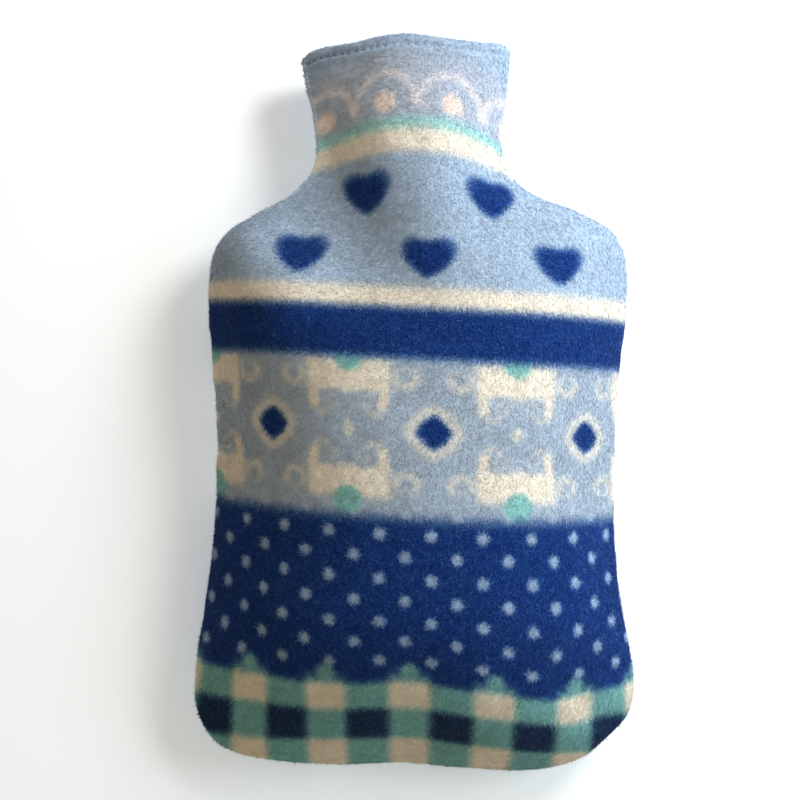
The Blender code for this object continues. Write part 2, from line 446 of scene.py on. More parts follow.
    def nodding(self, point: np.ndarray, height: np.ndarray, along: np.ndarray) -> np.ndarray:
        """Moves points with the neck as it nods.

        Args:
            point: Points of the plan view.
            height: Their heights.
            along: Their lengths from the mouth.

        Returns:
            The points in space, in the row's frame.
        """
        nod = math.tan(self.mouth_nod) * np.maximum(0.0, 1 - along / self.nod_length)
        x = point[..., 0] + self.frame_shift[0]
        y = point[..., 1] + (height - self.section(along).seam) * nod + self.frame_shift[1]
        return np.stack((x, y, height), axis=-1)

    def settled(self, height: np.ndarray) -> np.ndarray:
        """A height of the back, rounded off to zero where it rests on the table."""
        low = np.maximum(height + self.settling, 0.0) ** 2 / (4 * self.settling)
        return np.where(height < self.settling, low, height)

    def skin(self, side: Side, across: np.ndarray, along: np.ndarray, inset: float = 0.0,
             depth: np.ndarray | float = 0.0, sink: np.ndarray | float = 0.0) -> np.ndarray:
        """Points of a panel's skin.

        Args:
            side: The panel.
            across: Places across it, from -1 to 1.
            along: Lengths from the mouth.
            inset: How far inside the seam the skin ends.
            depth: Thickness of the wall over it, 0 on the outer skin.
            sink: How far the skin is moved towards the middle of the wall.

        Returns:
            The points, in millimetres.
        """
        across, along = self.inward(across, along, inset)
        height = self.outer_height(side, across, along)
        land = self.section(along).seam + side.value * (self.seam_gap / 2 + self.least_rise)
        upright = depth * self.steepness(side, across, along)
        sink = np.where(np.asarray(depth) > 0, -1.0, 1.0) * sink
        if side is Side.FRONT:
            height = np.maximum(height - upright - sink, land)
        else:
            height = np.minimum(self.settled(height + upright - depth) + depth + sink, land)
        return self.nodding(self.plan(across, along), height, along)

    def seam(self, side: Side, across: np.ndarray, along: np.ndarray, inset: float,
             rise: float) -> np.ndarray:
        """Points beside the seam.

        Args:
            side: The panel.
            across: Places across it.
            along: Lengths from the mouth.
            inset: How far inside the seam they lie.
            rise: How far from its middle they lie, up or down.

        Returns:
            The points, in millimetres.
        """
        across, along = self.inward(across, along, inset)
        height = self.section(along).seam + side.value * rise
        return self.nodding(self.plan(across, along), height, along)


# ---------------------------------------------------------------------------------------------
# Cloth
# ---------------------------------------------------------------------------------------------


def clouds(places: np.ndarray, size: float, seed: int) -> np.ndarray:
    """Soft random heights between -1 and 1 over a plane.

    Args:
        places: Places on the plane, two coordinates on the last axis.
        size: Width of a cloud.
        seed: Picks the clouds.

    Returns:
        A height for each place.
    """
    lattice = np.random.default_rng(seed).uniform(-1, 1, (LATTICE, LATTICE))
    cell = np.floor(places / size).astype(int)
    part = places / size - cell
    part = part * part * (3 - 2 * part)
    (i, j), (u, v) = np.moveaxis(cell, -1, 0), np.moveaxis(part, -1, 0)
    low, high = (lattice[i % LATTICE, k % LATTICE] * (1 - u) + lattice[(i + 1) % LATTICE, k % LATTICE] * u
                 for k in (j, j + 1))
    return low * (1 - v) + high * v


def bell(distance: np.ndarray, half_width: float) -> np.ndarray:
    """A smooth bump of height 1 at distance 0."""
    return np.exp(-(distance / half_width) ** 2)


def fading(value: np.ndarray, start: float, end: float) -> np.ndarray:
    """A smooth fall.

    Args:
        value: What it depends on.
        start: Where it starts, at 1.
        end: Where it ends, at 0.

    Returns:
        The share at each value.
    """
    part = np.clip((value - start) / (end - start), 0.0, 1.0)
    return 1 - part * part * (3 - 2 * part)


def grid_normals(points: np.ndarray) -> np.ndarray:
    """Unit normals of a grid of points, rows first, on the side that sees the rows run down."""
    return unit(np.cross(np.gradient(points, axis=0), np.gradient(points, axis=1)))


class Drift(NamedTuple):
    """A place where the print lies off the straight: its middle, half sizes and shifts."""

    s: float
    t: float
    across: float
    along: float
    right: float
    down: float


@dataclass(frozen=True)
class LaidFlat:
    """Where each place of a panel lies once its cloth is laid flat, in millimetres.

    The first coordinate, s, is the distance across from the panel's middle line. The second, t,
    is minus the distance from the mouth's fold.
    """

    middle: float = 0.357         # X of the panel's middle line
    slant: float = 0.0472         # the print's rows climb by this a millimetre
    low: float = 1.0              # how far the print was laid towards the bottom
    bend_from: float = 245.0      # length from the mouth at which the rows start to bend
    neck_bow: float = 0.0038      # the print's rows bow up in the neck, by this times s squared
    bow_ends: tuple[float, float] = (50.0, 92.0)
    drifts: tuple[Drift, ...] = (
        Drift(-4.0, -290.0, 22.0, 30.0, 0.0, -4.0),
        Drift(65.0, -297.0, 24.0, 38.0, 0.0, 5.0),
        Drift(88.0, -270.0, 34.0, 70.0, 3.0, 0.0),
        Drift(-95.0, -220.0, 26.0, 120.0, 1.6, 0.0),
        Drift(22.0, -95.0, 64.0, 30.0, 0.0, 1.3),
        Drift(22.0, -200.0, 80.0, 80.0, 0.0, 1.4),
        Drift(10.0, -290.0, 90.0, 50.0, 0.0, 1.2),
    )

    def of(self, points: np.ndarray, along: np.ndarray) -> np.ndarray:
        """Lays a grid of points flat.

        Args:
            points: The skin's points, a row for each length from the mouth.
            along: Those lengths.

        Returns:
            The two coordinates of each point, on the last axis.
        """
        across, down = running(points, axis=1), running(points)
        for row, line in enumerate(across):
            line -= np.interp(self.middle, points[row, :, 0], line)
        middle = down[:, points.shape[1] // 2]
        start = int(np.searchsorted(along, self.bend_from))
        down[:start] = middle[:start, None]
        down[start:] += middle[start] - down[start]
        return np.stack((across, -down), axis=-1)

    def printed(self, flat: np.ndarray) -> np.ndarray:
        """Where the print has each place of the flat cloth, which was cut a little askew.

        Args:
            flat: Places on the flat cloth.

        Returns:
            The places in the print.
        """
        s, t = flat[..., 0], flat[..., 1]
        p = s
        q = t + self.low + self.slant * s + self.neck_bow * s * s * fading(-t, *self.bow_ends)
        for drift in self.drifts:
            near = bell(s - drift.s, drift.across) * bell(t - drift.t, drift.along)
            p = p - drift.right * near
            q = q + drift.down * near
        return np.stack((p, q), axis=-1)


@dataclass
class Sheet:
    """A mesh in the making, whose corners may lie at several places of its maps.

    A corner is a point's number with its place in the print and in the bake map, and a face is a
    chain of corners.
    """

    points: list[np.ndarray] = field(default_factory=list)
    point_of: list[np.ndarray] = field(default_factory=list)
    prints: list[np.ndarray] = field(default_factory=list)
    bakes: list[np.ndarray] = field(default_factory=list)
    faces: list[tuple[int, ...]] = field(default_factory=list)
    finishes: list[int] = field(default_factory=list)
    point_count: int = 0
    corner_count: int = 0

    def add_points(self, points: np.ndarray) -> np.ndarray:
        """Adds points.

        Args:
            points: The points, with their coordinates on the last axis.

        Returns:
            Their numbers, in the same shape.
        """
        flat = points.reshape(-1, 3)
        self.points.append(flat)
        numbers = self.point_count + np.arange(len(flat))
        self.point_count += len(flat)
        return numbers.reshape(points.shape[:-1])

    def add_corners(self, numbers: np.ndarray, prints: np.ndarray, bakes: np.ndarray) -> np.ndarray:
        """Adds a corner for each point's number.

        Args:
            numbers: The points' numbers.
            prints: Their places in the print.
            bakes: Their places in the bake map.

        Returns:
            The corners' numbers, in the same shape.
        """
        self.point_of.append(numbers.ravel())
        self.prints.append(prints.reshape(-1, 2))
        self.bakes.append(bakes.reshape(-1, 2))
        corners = self.corner_count + np.arange(numbers.size)
        self.corner_count += numbers.size
        return corners.reshape(numbers.shape)

    def add_faces(self, faces: Sequence[tuple[int, ...]], finish: int = 0) -> None:
        """Adds faces of corners, with the number of their material."""
        self.faces += faces
        self.finishes += [finish] * len(faces)

    def to_mesh(self, name: str) -> bpy.types.Mesh:
        """Makes the mesh, with the maps "Print" in millimetres and "OFBake" from 0 to 1.

        Args:
            name: The mesh's name.

        Returns:
            The mesh.
        """
        points, point_of = np.concatenate(self.points), np.concatenate(self.point_of)
        mesh = bpy.data.meshes.new(name)
        chains = [tuple(point_of[list(face)].tolist()) for face in self.faces]
        mesh.from_pydata((points * MM).tolist(), [], chains)
        corners = np.concatenate([np.array(face) for face in self.faces])
        for title, places in (("Print", self.prints), ("OFBake", self.bakes)):
            layer = mesh.uv_layers.new(name=title)
            layer.data.foreach_set("uv", np.concatenate(places)[corners].ravel().astype(np.float32))
        mesh.polygons.foreach_set("material_index", np.array(self.finishes, np.int32))
        mesh.shade_smooth()
        return mesh


def grid_faces(numbers: np.ndarray, flipped: bool) -> list[tuple[int, ...]]:
    """The faces of a grid.

    Args:
        numbers: Its points' numbers, rows first.
        flipped: Turns the faces over.

    Returns:
        The faces.
    """
    corners = (numbers[:-1, :-1], numbers[1:, :-1], numbers[1:, 1:], numbers[:-1, 1:])
    faces = np.stack([c.ravel() for c in (corners[::-1] if flipped else corners)], axis=1)
    return [tuple(face) for face in faces.tolist()]


def stitched(first: Sequence[int], first_keys: Sequence[float], second: Sequence[int],
             second_keys: Sequence[float], flipped: bool) -> list[tuple[int, ...]]:
    """Triangles between two chains of points.

    Args:
        first: Point numbers of one chain.
        first_keys: How far along it each lies.
        second: Point numbers of the other chain.
        second_keys: How far along it each lies.
        flipped: Turns the triangles over.

    Returns:
        The triangles.
    """
    triangles = []
    i = j = 0
    while i < len(first) - 1 or j < len(second) - 1:
        take_first = j == len(second) - 1 or (
            i < len(first) - 1 and first_keys[i + 1] <= second_keys[j + 1])
        if take_first:
            triangle = (first[i], second[j], first[i + 1])
            i += 1
        else:
            triangle = (first[i], second[j], second[j + 1])
            j += 1
        triangles.append(triangle[::-1] if flipped else triangle)
    return triangles


@dataclass(frozen=True)
class BakeMap:
    """Where a panel's cloth lies in its bake map: the face at the left, the inside at the right."""

    margin: float = 0.01
    face: tuple[float, float] = (0.66, 0.98)      # size of the face's part
    cloth: tuple[float, float] = (272.0, 378.0)   # size of the flat cloth in it, in millimetres
    corner: tuple[float, float] = (136.0, 366.0)  # how far its corner lies left of and under 0
    inside: float = 0.7           # where the inside's part starts
    inside_width: float = 0.29
    rim: float = 1.02             # how far out the inside's rim lies, as a share of its width

    def of_face(self, flat: np.ndarray) -> np.ndarray:
        """Places in the map of places on the flat cloth."""
        return self.margin + np.array(self.face) * (flat + self.corner) / self.cloth

    def laid(self, bake: np.ndarray) -> np.ndarray:
        """Places on the flat cloth of places in the map."""
        return (bake - self.margin) / self.face * self.cloth - self.corner

    def of_inside(self, across: np.ndarray, down: np.ndarray) -> np.ndarray:
        """Places in the map of places on the inside, across from -1 to 1 and down from 0 to 1."""
        v = 1 - self.margin - self.face[1] * down
        return np.stack((self.inside + self.inside_width * (across + 1) / 2, v), axis=-1)


@dataclass(frozen=True)
class Panel:
    """One cut of fleece: its printed face, its turned hem and edges, and its plain inside."""

    side: Side
    form: CoverForm
    columns: int = 168
    body_rows: int = 236
    lining_rows: int = 64
    fold_rows: int = 6
    edge_crowding: float = 0.55   # how much closer the columns lie towards the seams
    fold_sink: float = 2.25       # how far the fold's rim is turned towards the wall's middle
    roll_steps: int = 5
    hem_zone: float = 12.0        # length from the mouth over which the rows lie closest
    hem_row: float = 0.55
    stitch_line: float = 4.6      # from the fold to the line of stitches
    stitch_pitch: float = 3.5
    groove: float = 0.4           # depth of the line that the stitches draw in
    groove_width: float = 0.75
    left_groove: float = 0.7      # how much deeper it is at the left
    left_groove_ends: tuple[float, float] = (-48.0, -14.0)
    dent: float = 0.5             # how much deeper again at each stitch
    dent_width: float = 0.7
    hem_puff: float = 0.4
    hem_puffs: tuple[tuple[float, float], ...] = ((2.3, 1.5), (6.9, 1.4))    # place and width
    hem_middle: float = 4.0
    pucker: float = 0.55          # how far the side seams gather the edge in and out
    pucker_size: float = 8.0
    pucker_reach: float = 0.1     # share of the width over which a pucker fades
    bottom_reach: float = 9.0     # length over which one of the bottom seam fades
    least_pucker: float = 0.6
    pucker_path: tuple[float, float] = (500.0, 40.0)      # to the right seam's, along the bottom's
    pucker_row: float = 7.5
    waves: tuple[tuple[float, float], ...] = ((34.0, 0.45), (13.0, 0.22), (2.6, 0.09))
    flat_ends: tuple[float, float] = (3.0, 0.4)   # heights over the table between which waves fade
    still_edge: float = 0.965     # share of the width beyond which the small forms fade
    still_bottom: float = 4.0
    cloth: LaidFlat = LaidFlat()
    bake: BakeMap = BakeMap()
    seed: int = 11

    def across_places(self) -> np.ndarray:
        """Places across the panel, closer together towards the seams."""
        even = np.linspace(-1.0, 1.0, self.columns + 1)
        return even + (np.sin(math.pi / 2 * even) - even) * self.edge_crowding

    def along_places(self) -> np.ndarray:
        """Lengths from the mouth at which the face's rows lie.

        Returns:
            Those round the fold, down the hem, and down the body.
        """
        fold = self.form.hem_wall / 2 * (1 - np.cos(np.linspace(0.0, math.pi / 2, self.fold_rows)))
        hem = np.arange(fold[-1] + self.hem_row, self.hem_zone, self.hem_row)
        body = np.linspace(self.hem_zone, self.form.length, self.body_rows)
        return np.concatenate((fold, hem, body))

    def sink(self, along: np.ndarray) -> np.ndarray:
        """How far the round fold takes the skin towards the middle of the wall.

        Args:
            along: Lengths from the mouth.

        Returns:
            The depths.
        """
        radius = self.form.hem_wall / 2
        off = np.clip(radius - along, 0.0, radius)
        return np.minimum(radius - np.sqrt(radius**2 - off**2), self.fold_sink)

    def gathers(self, across: np.ndarray, along: np.ndarray) -> np.ndarray:
        """How far the seam's puckers draw the skin in.

        Args:
            across: Places across the panel.
            along: Lengths from the mouth.

        Returns:
            The insets.
        """
        to_right, to_bottom = self.pucker_path
        path = np.where(across < 0, along, along + to_right) + to_bottom * (1 + across)
        near = fading(1 - np.abs(across), 0.0, self.pucker_reach)
        low = fading(self.form.length - along, 0.0, self.bottom_reach)
        row = np.full_like(path, self.pucker_row * self.side.value)
        wave = clouds(np.stack((path, row), axis=-1), self.pucker_size, self.seed)
        return self.pucker * (wave + self.least_pucker) * np.maximum(near, low)

    def relief(self, points: np.ndarray, flat: np.ndarray, across: np.ndarray,
               along: np.ndarray) -> np.ndarray:
        """Height of the skin's small forms over the smooth panel.

        Args:
            points: The smooth skin.
            flat: Where its places lie on the flat cloth.
            across: Places across the panel.
            along: Lengths from the mouth.

        Returns:
            The heights.
        """
        height = sum(size * clouds(flat, width, self.seed + int(width)) for width, size in self.waves)
        height = height * fading(-points[..., 2], -self.flat_ends[0], -self.flat_ends[1])
        off = along - self.stitch_line
        beat = 0.5 + 0.5 * np.cos(2 * math.pi * flat[..., 0] / self.stitch_pitch)
        groove = self.groove + self.left_groove * fading(flat[..., 0], *self.left_groove_ends)
        height = height - groove * bell(off, self.groove_width)
        height = height - self.dent * beat**3 * bell(off, self.dent_width)
        height = height + self.hem_puff * sum(bell(along - at, width) for at, width in self.hem_puffs)
        return (height * fading(np.abs(across), self.still_edge, 1.0)
                * fading(along, self.form.length - self.still_bottom, self.form.length))

    def lining_bake(self, across: np.ndarray, along: np.ndarray) -> np.ndarray:
        """Place of the inside in the bake map."""
        return self.bake.of_inside(across, along / self.form.length)

    @staticmethod
    def edge_of(rows: int, columns: int) -> tuple[np.ndarray, np.ndarray]:
        """The edge of a grid: down its left side, along the bottom and up.

        Args:
            rows: How many rows it has.
            columns: How many columns.

        Returns:
            The rows and the columns of the edge's points.
        """
        edge = [(r, 0) for r in range(rows)] + [(rows - 1, c) for c in range(1, columns - 1)]
        edge += [(r, columns - 1) for r in range(rows - 1, -1, -1)]
        edge_rows, edge_columns = np.array(edge).T
        return edge_rows, edge_columns

    @staticmethod
    def outward(edge: np.ndarray) -> np.ndarray:
        """Unit directions on the flat cloth that lead out of its cut edge."""
        run = np.gradient(edge, axis=0)
        return unit(np.stack((run[:, 1], -run[:, 0]), axis=-1))

    def edge_keys(self, across: np.ndarray, along: np.ndarray) -> np.ndarray:
        """How far points of the edge lie on the way down, across and up the panel.

        Args:
            across: Their places across it.
            along: Their lengths from the mouth.

        Returns:
            The keys, with 1 at the left corner and 2 at the right.
        """
        down = along / self.form.length
        keys = np.where(across > 0, 3 - down, down)
        return np.where(np.isclose(down, 1.0), 1 + (across + 1) / 2, keys)

    def add_face(self, sheet: Sheet) -> tuple[np.ndarray, list[np.ndarray], np.ndarray]:
        """Adds the printed face with the rolled edge beside the seam.

        Args:
            sheet: The mesh in the making.

        Returns:
            The corners of the face's first row, the corners of each strip from its edge round to
            the seam, and the keys along them.
        """
        form, side, is_back = self.form, self.side, self.side is Side.BACK
        places, lengths = self.across_places(), self.along_places()
        across, along = np.meshgrid(places, lengths)
        drawn = self.gathers(across, along)
        points = form.skin(side, across, along, inset=drawn, sink=self.sink(along))
        flat = self.cloth.of(points, lengths)
        lift = self.relief(points, flat, across, along)[..., None]
        points = points + grid_normals(points) * side.value * lift
        if is_back:
            points[..., 2] = np.maximum(points[..., 2], 0.0)
        prints = self.cloth.printed(flat)
        numbers = sheet.add_points(points)
        corners = sheet.add_corners(numbers, prints, self.bake.of_face(flat))
        sheet.add_faces(grid_faces(corners, is_back))

        rows, columns = self.edge_of(*numbers.shape)
        edge_across, edge_along = places[columns], lengths[rows]
        outward = self.outward(flat[rows, columns])
        strips = [corners[rows, columns]]
        for step in range(1, self.roll_steps + 1):
            turn = math.pi / 2 * step / self.roll_steps
            inset = form.seam_inset * (1 - math.cos(turn)) + drawn[rows, columns]
            rise = form.seam_gap / 2 + form.seam_roll * (1 - math.sin(turn))
            level = form.seam(side, edge_across, edge_along, inset, rise)
            reach = outward * form.seam_roll * turn
            strips.append(sheet.add_corners(sheet.add_points(level), prints[rows, columns] + reach,
                                            self.bake.of_face(flat[rows, columns] + reach)))
        sheet.add_faces(grid_faces(np.array(strips), is_back))
        return corners[0], strips, self.edge_keys(edge_across, edge_along)

    def add_lining(self, sheet: Sheet) -> tuple[np.ndarray, list[np.ndarray], np.ndarray]:
        """Adds the inside, with the part of the printed face that the hem turns in.

        Args:
            sheet: The mesh in the making.

        Returns:
            The corners of its first row, those of its edge and of the rim beside the seam, and
            the keys of both.
        """
        form, side, is_back = self.form, self.side, self.side is Side.BACK
        fold = self.along_places()[:self.fold_rows]
        hem = np.array((self.hem_middle, form.hem_width, form.hem_width + form.hem_step))
        body = np.linspace(hem[-1], form.length, self.lining_rows)[1:]
        places, lengths = self.across_places(), np.concatenate((fold, hem, body))
        across, along = np.meshgrid(places, lengths)
        land = form.seam_inset + form.seam_land
        points = form.skin(side, across, along, inset=land + form.lining_edge,
                           depth=form.wall(along), sink=self.sink(along))
        flat = self.cloth.of(points, lengths)
        prints = self.cloth.printed(flat * (1.0, -1.0))
        corners = sheet.add_corners(sheet.add_points(points), prints,
                                    self.lining_bake(across, along))
        turned_in = len(fold) + 1
        sheet.add_faces(grid_faces(corners[:turned_in + 1], not is_back))
        sheet.add_faces(grid_faces(corners[turned_in:], not is_back), finish=1)

        rows, columns = self.edge_of(*across.shape)
        edge_across, edge_along = places[columns], lengths[rows]
        level = form.seam(side, edge_across, edge_along, land, form.seam_gap / 2)
        rim = sheet.add_corners(sheet.add_points(level), prints[rows, columns],
                                self.lining_bake(edge_across * self.bake.rim, edge_along))
        edge = corners[rows, columns]
        sheet.add_faces(grid_faces(np.array((rim, edge)), is_back), finish=1)
        return corners[0], [rim, edge], self.edge_keys(edge_across, edge_along)

    def build(self, name: str) -> bpy.types.Object:
        """Makes the panel.

        Args:
            name: Its name.

        Returns:
            The object, in the row's frame.
        """
        sheet, is_back = Sheet(), self.side is Side.BACK
        mouth, strips, keys = self.add_face(sheet)
        inner_mouth, inner_strips, inner_keys = self.add_lining(sheet)
        sheet.add_faces(stitched(strips[-1], keys, inner_strips[0], inner_keys, is_back))
        sheet.add_faces(grid_faces(np.array((inner_mouth, mouth)), is_back))
        for end in (0, -1):
            loop = [strip[end] for strip in strips] + [strip[end] for strip in inner_strips]
            sheet.add_faces([tuple(int(c) for c in (loop[::-1] if (end == 0) != is_back else loop))])
        return in_scene(name, sheet.to_mesh(name))


@dataclass(frozen=True)
class Nap:
    """The brushed nap of one panel: short fibres, each a slim spike with the print's colour."""

    count: int
    seed: int
    length: tuple[float, float] = (1.3, 2.5)
    width: tuple[float, float] = (0.3, 0.5)       # thicker than a real fibre's, so that it shows
    lift: tuple[float, float] = (10.0, 34.0)      # degrees off the skin
    stroke: float = -105.0                        # degrees, the way in which it was brushed
    stroke_spread: float = 75.0
    swirl: float = 16.0                           # size of the swirls in the stroke
    swirl_turn: float = 80.0
    sunk: float = 0.12                            # how deep the roots sit in the skin
    parting: float = 0.8                          # how far from the stitches the nap starts
    lowest: float = 0.02                          # height over the table of a fibre pressed on it
    bake_dot: float = 0.0012
    painted_root_shade_tip_light: tuple[float, float] = (-0.6, 1.2)         # painted shade at the root and painted light at the tip, added to each fibre's fleck
    most_fleck: float = 2.0

    @staticmethod
    def read(items: Any, name: str, width: int = 1, kind: type = float) -> np.ndarray:
        """Reads a value of each of a mesh's items.

        Args:
            items: The items.
            name: The value's name.
            width: How many numbers it has.
            kind: Their type.

        Returns:
            The numbers, a row for each item unless the width is 1.
        """
        values = np.empty(len(items) * width, kind)
        items.foreach_get(name, values)
        return values.reshape(-1, width) if width > 1 else values

    def build(self, name: str, panel: bpy.types.Object) -> bpy.types.Object:
        """Grows the nap on a panel's printed face.

        Args:
            name: The nap's name.
            panel: The panel, whose first finish is the printed face.

        Returns:
            The nap, as one object.
        """
        rng = np.random.default_rng(self.seed)
        mesh = panel.data
        corner_point = self.read(mesh.loops, "vertex_index", kind=np.int32)
        points = self.read(mesh.vertices, "co", 3) / MM
        normals = self.read(mesh.vertices, "normal", 3)
        maps = {layer.name: self.read(layer.data, "uv", 2) for layer in mesh.uv_layers}
        starts, totals, finish = (self.read(mesh.polygons, name, kind=np.int32)
                                  for name in ("loop_start", "loop_total", "material_index"))

        quads = starts[(totals == 4) & (finish == 0)][:, None] + np.arange(4)
        laid = Panel.bake.laid(maps["OFBake"][quads[:, 0]])
        beat = np.cos(2 * math.pi * laid[:, 0] / Panel.stitch_pitch)
        quads = quads[(np.abs(laid[:, 1] + Panel.stitch_line) > self.parting) | (beat < 0)]
        corners = points[corner_point[quads]]
        one, two = corners[:, 2] - corners[:, 0], corners[:, 3] - corners[:, 1]
        area = np.linalg.norm(np.cross(one, two), axis=1) / 2
        chosen = quads[rng.choice(len(quads), self.count, p=area / area.sum())]
        u, v = rng.random((2, self.count, 1))
        weights = np.stack(((1 - u) * (1 - v), u * (1 - v), u * v, (1 - u) * v), axis=1)

        roots, up, prints, bakes = ((values * weights).sum(axis=1) for values in (
            points[corner_point[chosen]], normals[corner_point[chosen]], maps["Print"][chosen],
            maps["OFBake"][chosen]))
        up = unit(up)

        turn = np.radians(self.stroke + self.swirl_turn * clouds(prints, self.swirl, self.seed)
                          + self.stroke_spread * rng.standard_normal(self.count))
        flow = np.stack((np.cos(turn), np.sin(turn), np.zeros(self.count)), axis=1)
        flow = unit(flow - up * (flow * up).sum(axis=1, keepdims=True))
        lift = np.radians(rng.uniform(*self.lift, (self.count, 1)))
        lean = flow * np.cos(lift) + up * np.sin(lift)
        length = rng.uniform(*self.length, (self.count, 1))
        half = unit(np.cross(lean, up)) * (rng.uniform(*self.width, (self.count, 1)) / 2)
        feet = roots - up * self.sunk
        spikes = np.stack((feet - half, feet + half, feet + lean * length), axis=1)
        spikes[..., 2] = np.maximum(spikes[..., 2], self.lowest)
        return self.to_object(name, spikes, up, prints, bakes, rng)

    def to_object(self, name: str, spikes: np.ndarray, up: np.ndarray, prints: np.ndarray,
                  bakes: np.ndarray, rng: np.random.Generator) -> bpy.types.Object:
        """Makes the object, lit as the skin under it, with a shade of its own a fibre, and with painted
        shade at its root and painted light at its tip.

        Args:
            name: The object's name.
            spikes: The fibres' three corners each, in millimetres.
            up: The skin's normal under each.
            prints: Its place in the print.
            bakes: Its place in the bake map.
            rng: Draws the shades.

        Returns:
            The object.
        """
        count = len(spikes)
        mesh = bpy.data.meshes.new(name)
        mesh.vertices.add(count * 3)
        mesh.vertices.foreach_set("co", (spikes * MM).ravel())
        mesh.loops.add(count * 3)
        mesh.loops.foreach_set("vertex_index", np.arange(count * 3, dtype=np.int32))
        mesh.polygons.add(count)
        mesh.polygons.foreach_set("loop_start", np.arange(0, count * 3, 3, dtype=np.int32))
        mesh.update(calc_edges=True)
        spot = np.array(((-1.0, -1.0), (1.0, -1.0), (0.0, 1.0))) * self.bake_dot
        for title, places in (("Print", np.repeat(prints, 3, axis=0)), ("OFBake", bakes[:, None] + spot)):
            layer = mesh.uv_layers.new(name=title)
            layer.data.foreach_set("uv", places.ravel().astype(np.float32))
        fleck_and_painted_shade = mesh.attributes.new("FleckAndPaintedShade", "FLOAT", "POINT")
        # Each fibre's own random shade, with painted shade at its root and painted light at its tip.
        root, tip = self.painted_root_shade_tip_light
        shade = rng.standard_normal(count).clip(-self.most_fleck, self.most_fleck)
        shade = np.repeat(shade, 3) + np.tile((root, root, tip), count)
        fleck_and_painted_shade.data.foreach_set("value", shade.astype(np.float32))
        mesh.shade_smooth()
        mesh.normals_split_custom_set_from_vertices(np.repeat(up, 3, axis=0).tolist())
        return in_scene(name, mesh)


@dataclass(frozen=True)
class HemStitching:
    """The line of machine stitches that holds a panel's hem, one short thread a stitch."""

    panel: Panel
    thread: float = 0.42          # thickness
    stitch: float = 2.7
    depth: float = 0.35           # how deep a stitch's ends lie in the groove
    arch: float = 0.5             # how far its middle stands out over them
    taper: float = 0.35           # radians of a half wave that are cut from its thinning ends
    margin: float = 3.0           # from the seam to the first stitch
    sides: int = 6
    steps: int = 6
    samples: int = 600            # points of the line that the stitches follow
    probe: float = 0.5            # distance over which the cloth's slope is measured

    def build(self, name: str) -> bpy.types.Object:
        """Makes the stitches on the outside and on the inside of the hem.

        Args:
            name: The object's name.

        Returns:
            The stitches, as one object.
        """
        points: list[np.ndarray] = []
        faces: list[tuple[int, ...]] = []
        panel, form = self.panel, self.panel.form
        places = np.linspace(-1.0, 1.0, self.samples)
        along = np.full_like(places, panel.stitch_line)
        land = form.seam_inset + form.seam_land + form.lining_edge
        arch = np.sin(np.linspace(0.0, math.pi, self.steps))[:, None] * self.arch
        for depth, inset, way, groove in ((0.0, 0.0, panel.side.value, panel.groove),
                                          (form.hem_wall, land, -panel.side.value, 0.0)):
            line, after = (form.skin(panel.side, places, at, inset=inset, depth=np.full_like(places, depth))
                           for at in (along, along + self.probe))
            out = unit(np.cross(after - line, np.gradient(line, axis=0)) * way)
            lengths = running(line)
            for start in np.arange(self.margin, lengths[-1] - self.margin, panel.stitch_pitch):
                at = np.linspace(start, start + self.stitch, self.steps)
                middle, away = (np.stack([np.interp(at, lengths, part) for part in values.T], axis=1)
                                for values in (line, out))
                middle = middle + away * (arch - self.depth - groove)
                tube, sides = self.tube(middle, away, sum(len(p) for p in points))
                points.append(tube)
                faces += sides
        mesh = bpy.data.meshes.new(name)
        mesh.from_pydata((np.concatenate(points) * MM).tolist(), [], faces)
        mesh.shade_smooth()
        return in_scene(name, mesh)

    def tube(self, middle: np.ndarray, away: np.ndarray,
             start: int) -> tuple[np.ndarray, list[tuple[int, ...]]]:
        """One stitch's thread.

        Args:
            middle: The points of its middle line.
            away: Unit directions out of the cloth at them.
            start: The number of its first point.

        Returns:
            Its points, and their faces.
        """
        run = unit(np.gradient(middle, axis=0))
        beside = unit(np.cross(run, away))
        above = np.cross(beside, run)
        turns = np.linspace(0.0, 2 * math.pi, self.sides, endpoint=False)
        bulge = np.sqrt(np.sin(np.linspace(self.taper, math.pi - self.taper, self.steps)))
        ring = beside[:, None] * np.cos(turns)[:, None] + above[:, None] * np.sin(turns)[:, None]
        tube = middle[:, None] + ring * self.thread / 2 * bulge[:, None, None]
        numbers = start + np.arange(self.steps * self.sides).reshape(self.steps, self.sides)
        closed = np.concatenate((numbers, numbers[:, :1]), axis=1)
        faces = grid_faces(closed, True)
        faces += [tuple(numbers[0].tolist()), tuple(numbers[-1][::-1].tolist())]
        return tube.reshape(-1, 3), faces


# ---------------------------------------------------------------------------------------------
# Finishes
# ---------------------------------------------------------------------------------------------


def linear(code: str) -> tuple[float, float, float, float]:
    """Turns an sRGB hex colour into the linear one that shaders take.

    Args:
        code: The colour, a hash sign and six hex digits.

    Returns:
        Its linear red, green and blue, and an alpha of 1.
    """
    parts = [int(code[i:i + 2], 16) / 255 for i in (1, 3, 5)]
    red, green, blue = (c / 12.92 if c <= 0.04045 else ((c + 0.055) / 1.055) ** 2.4 for c in parts)
    return red, green, blue, 1.0


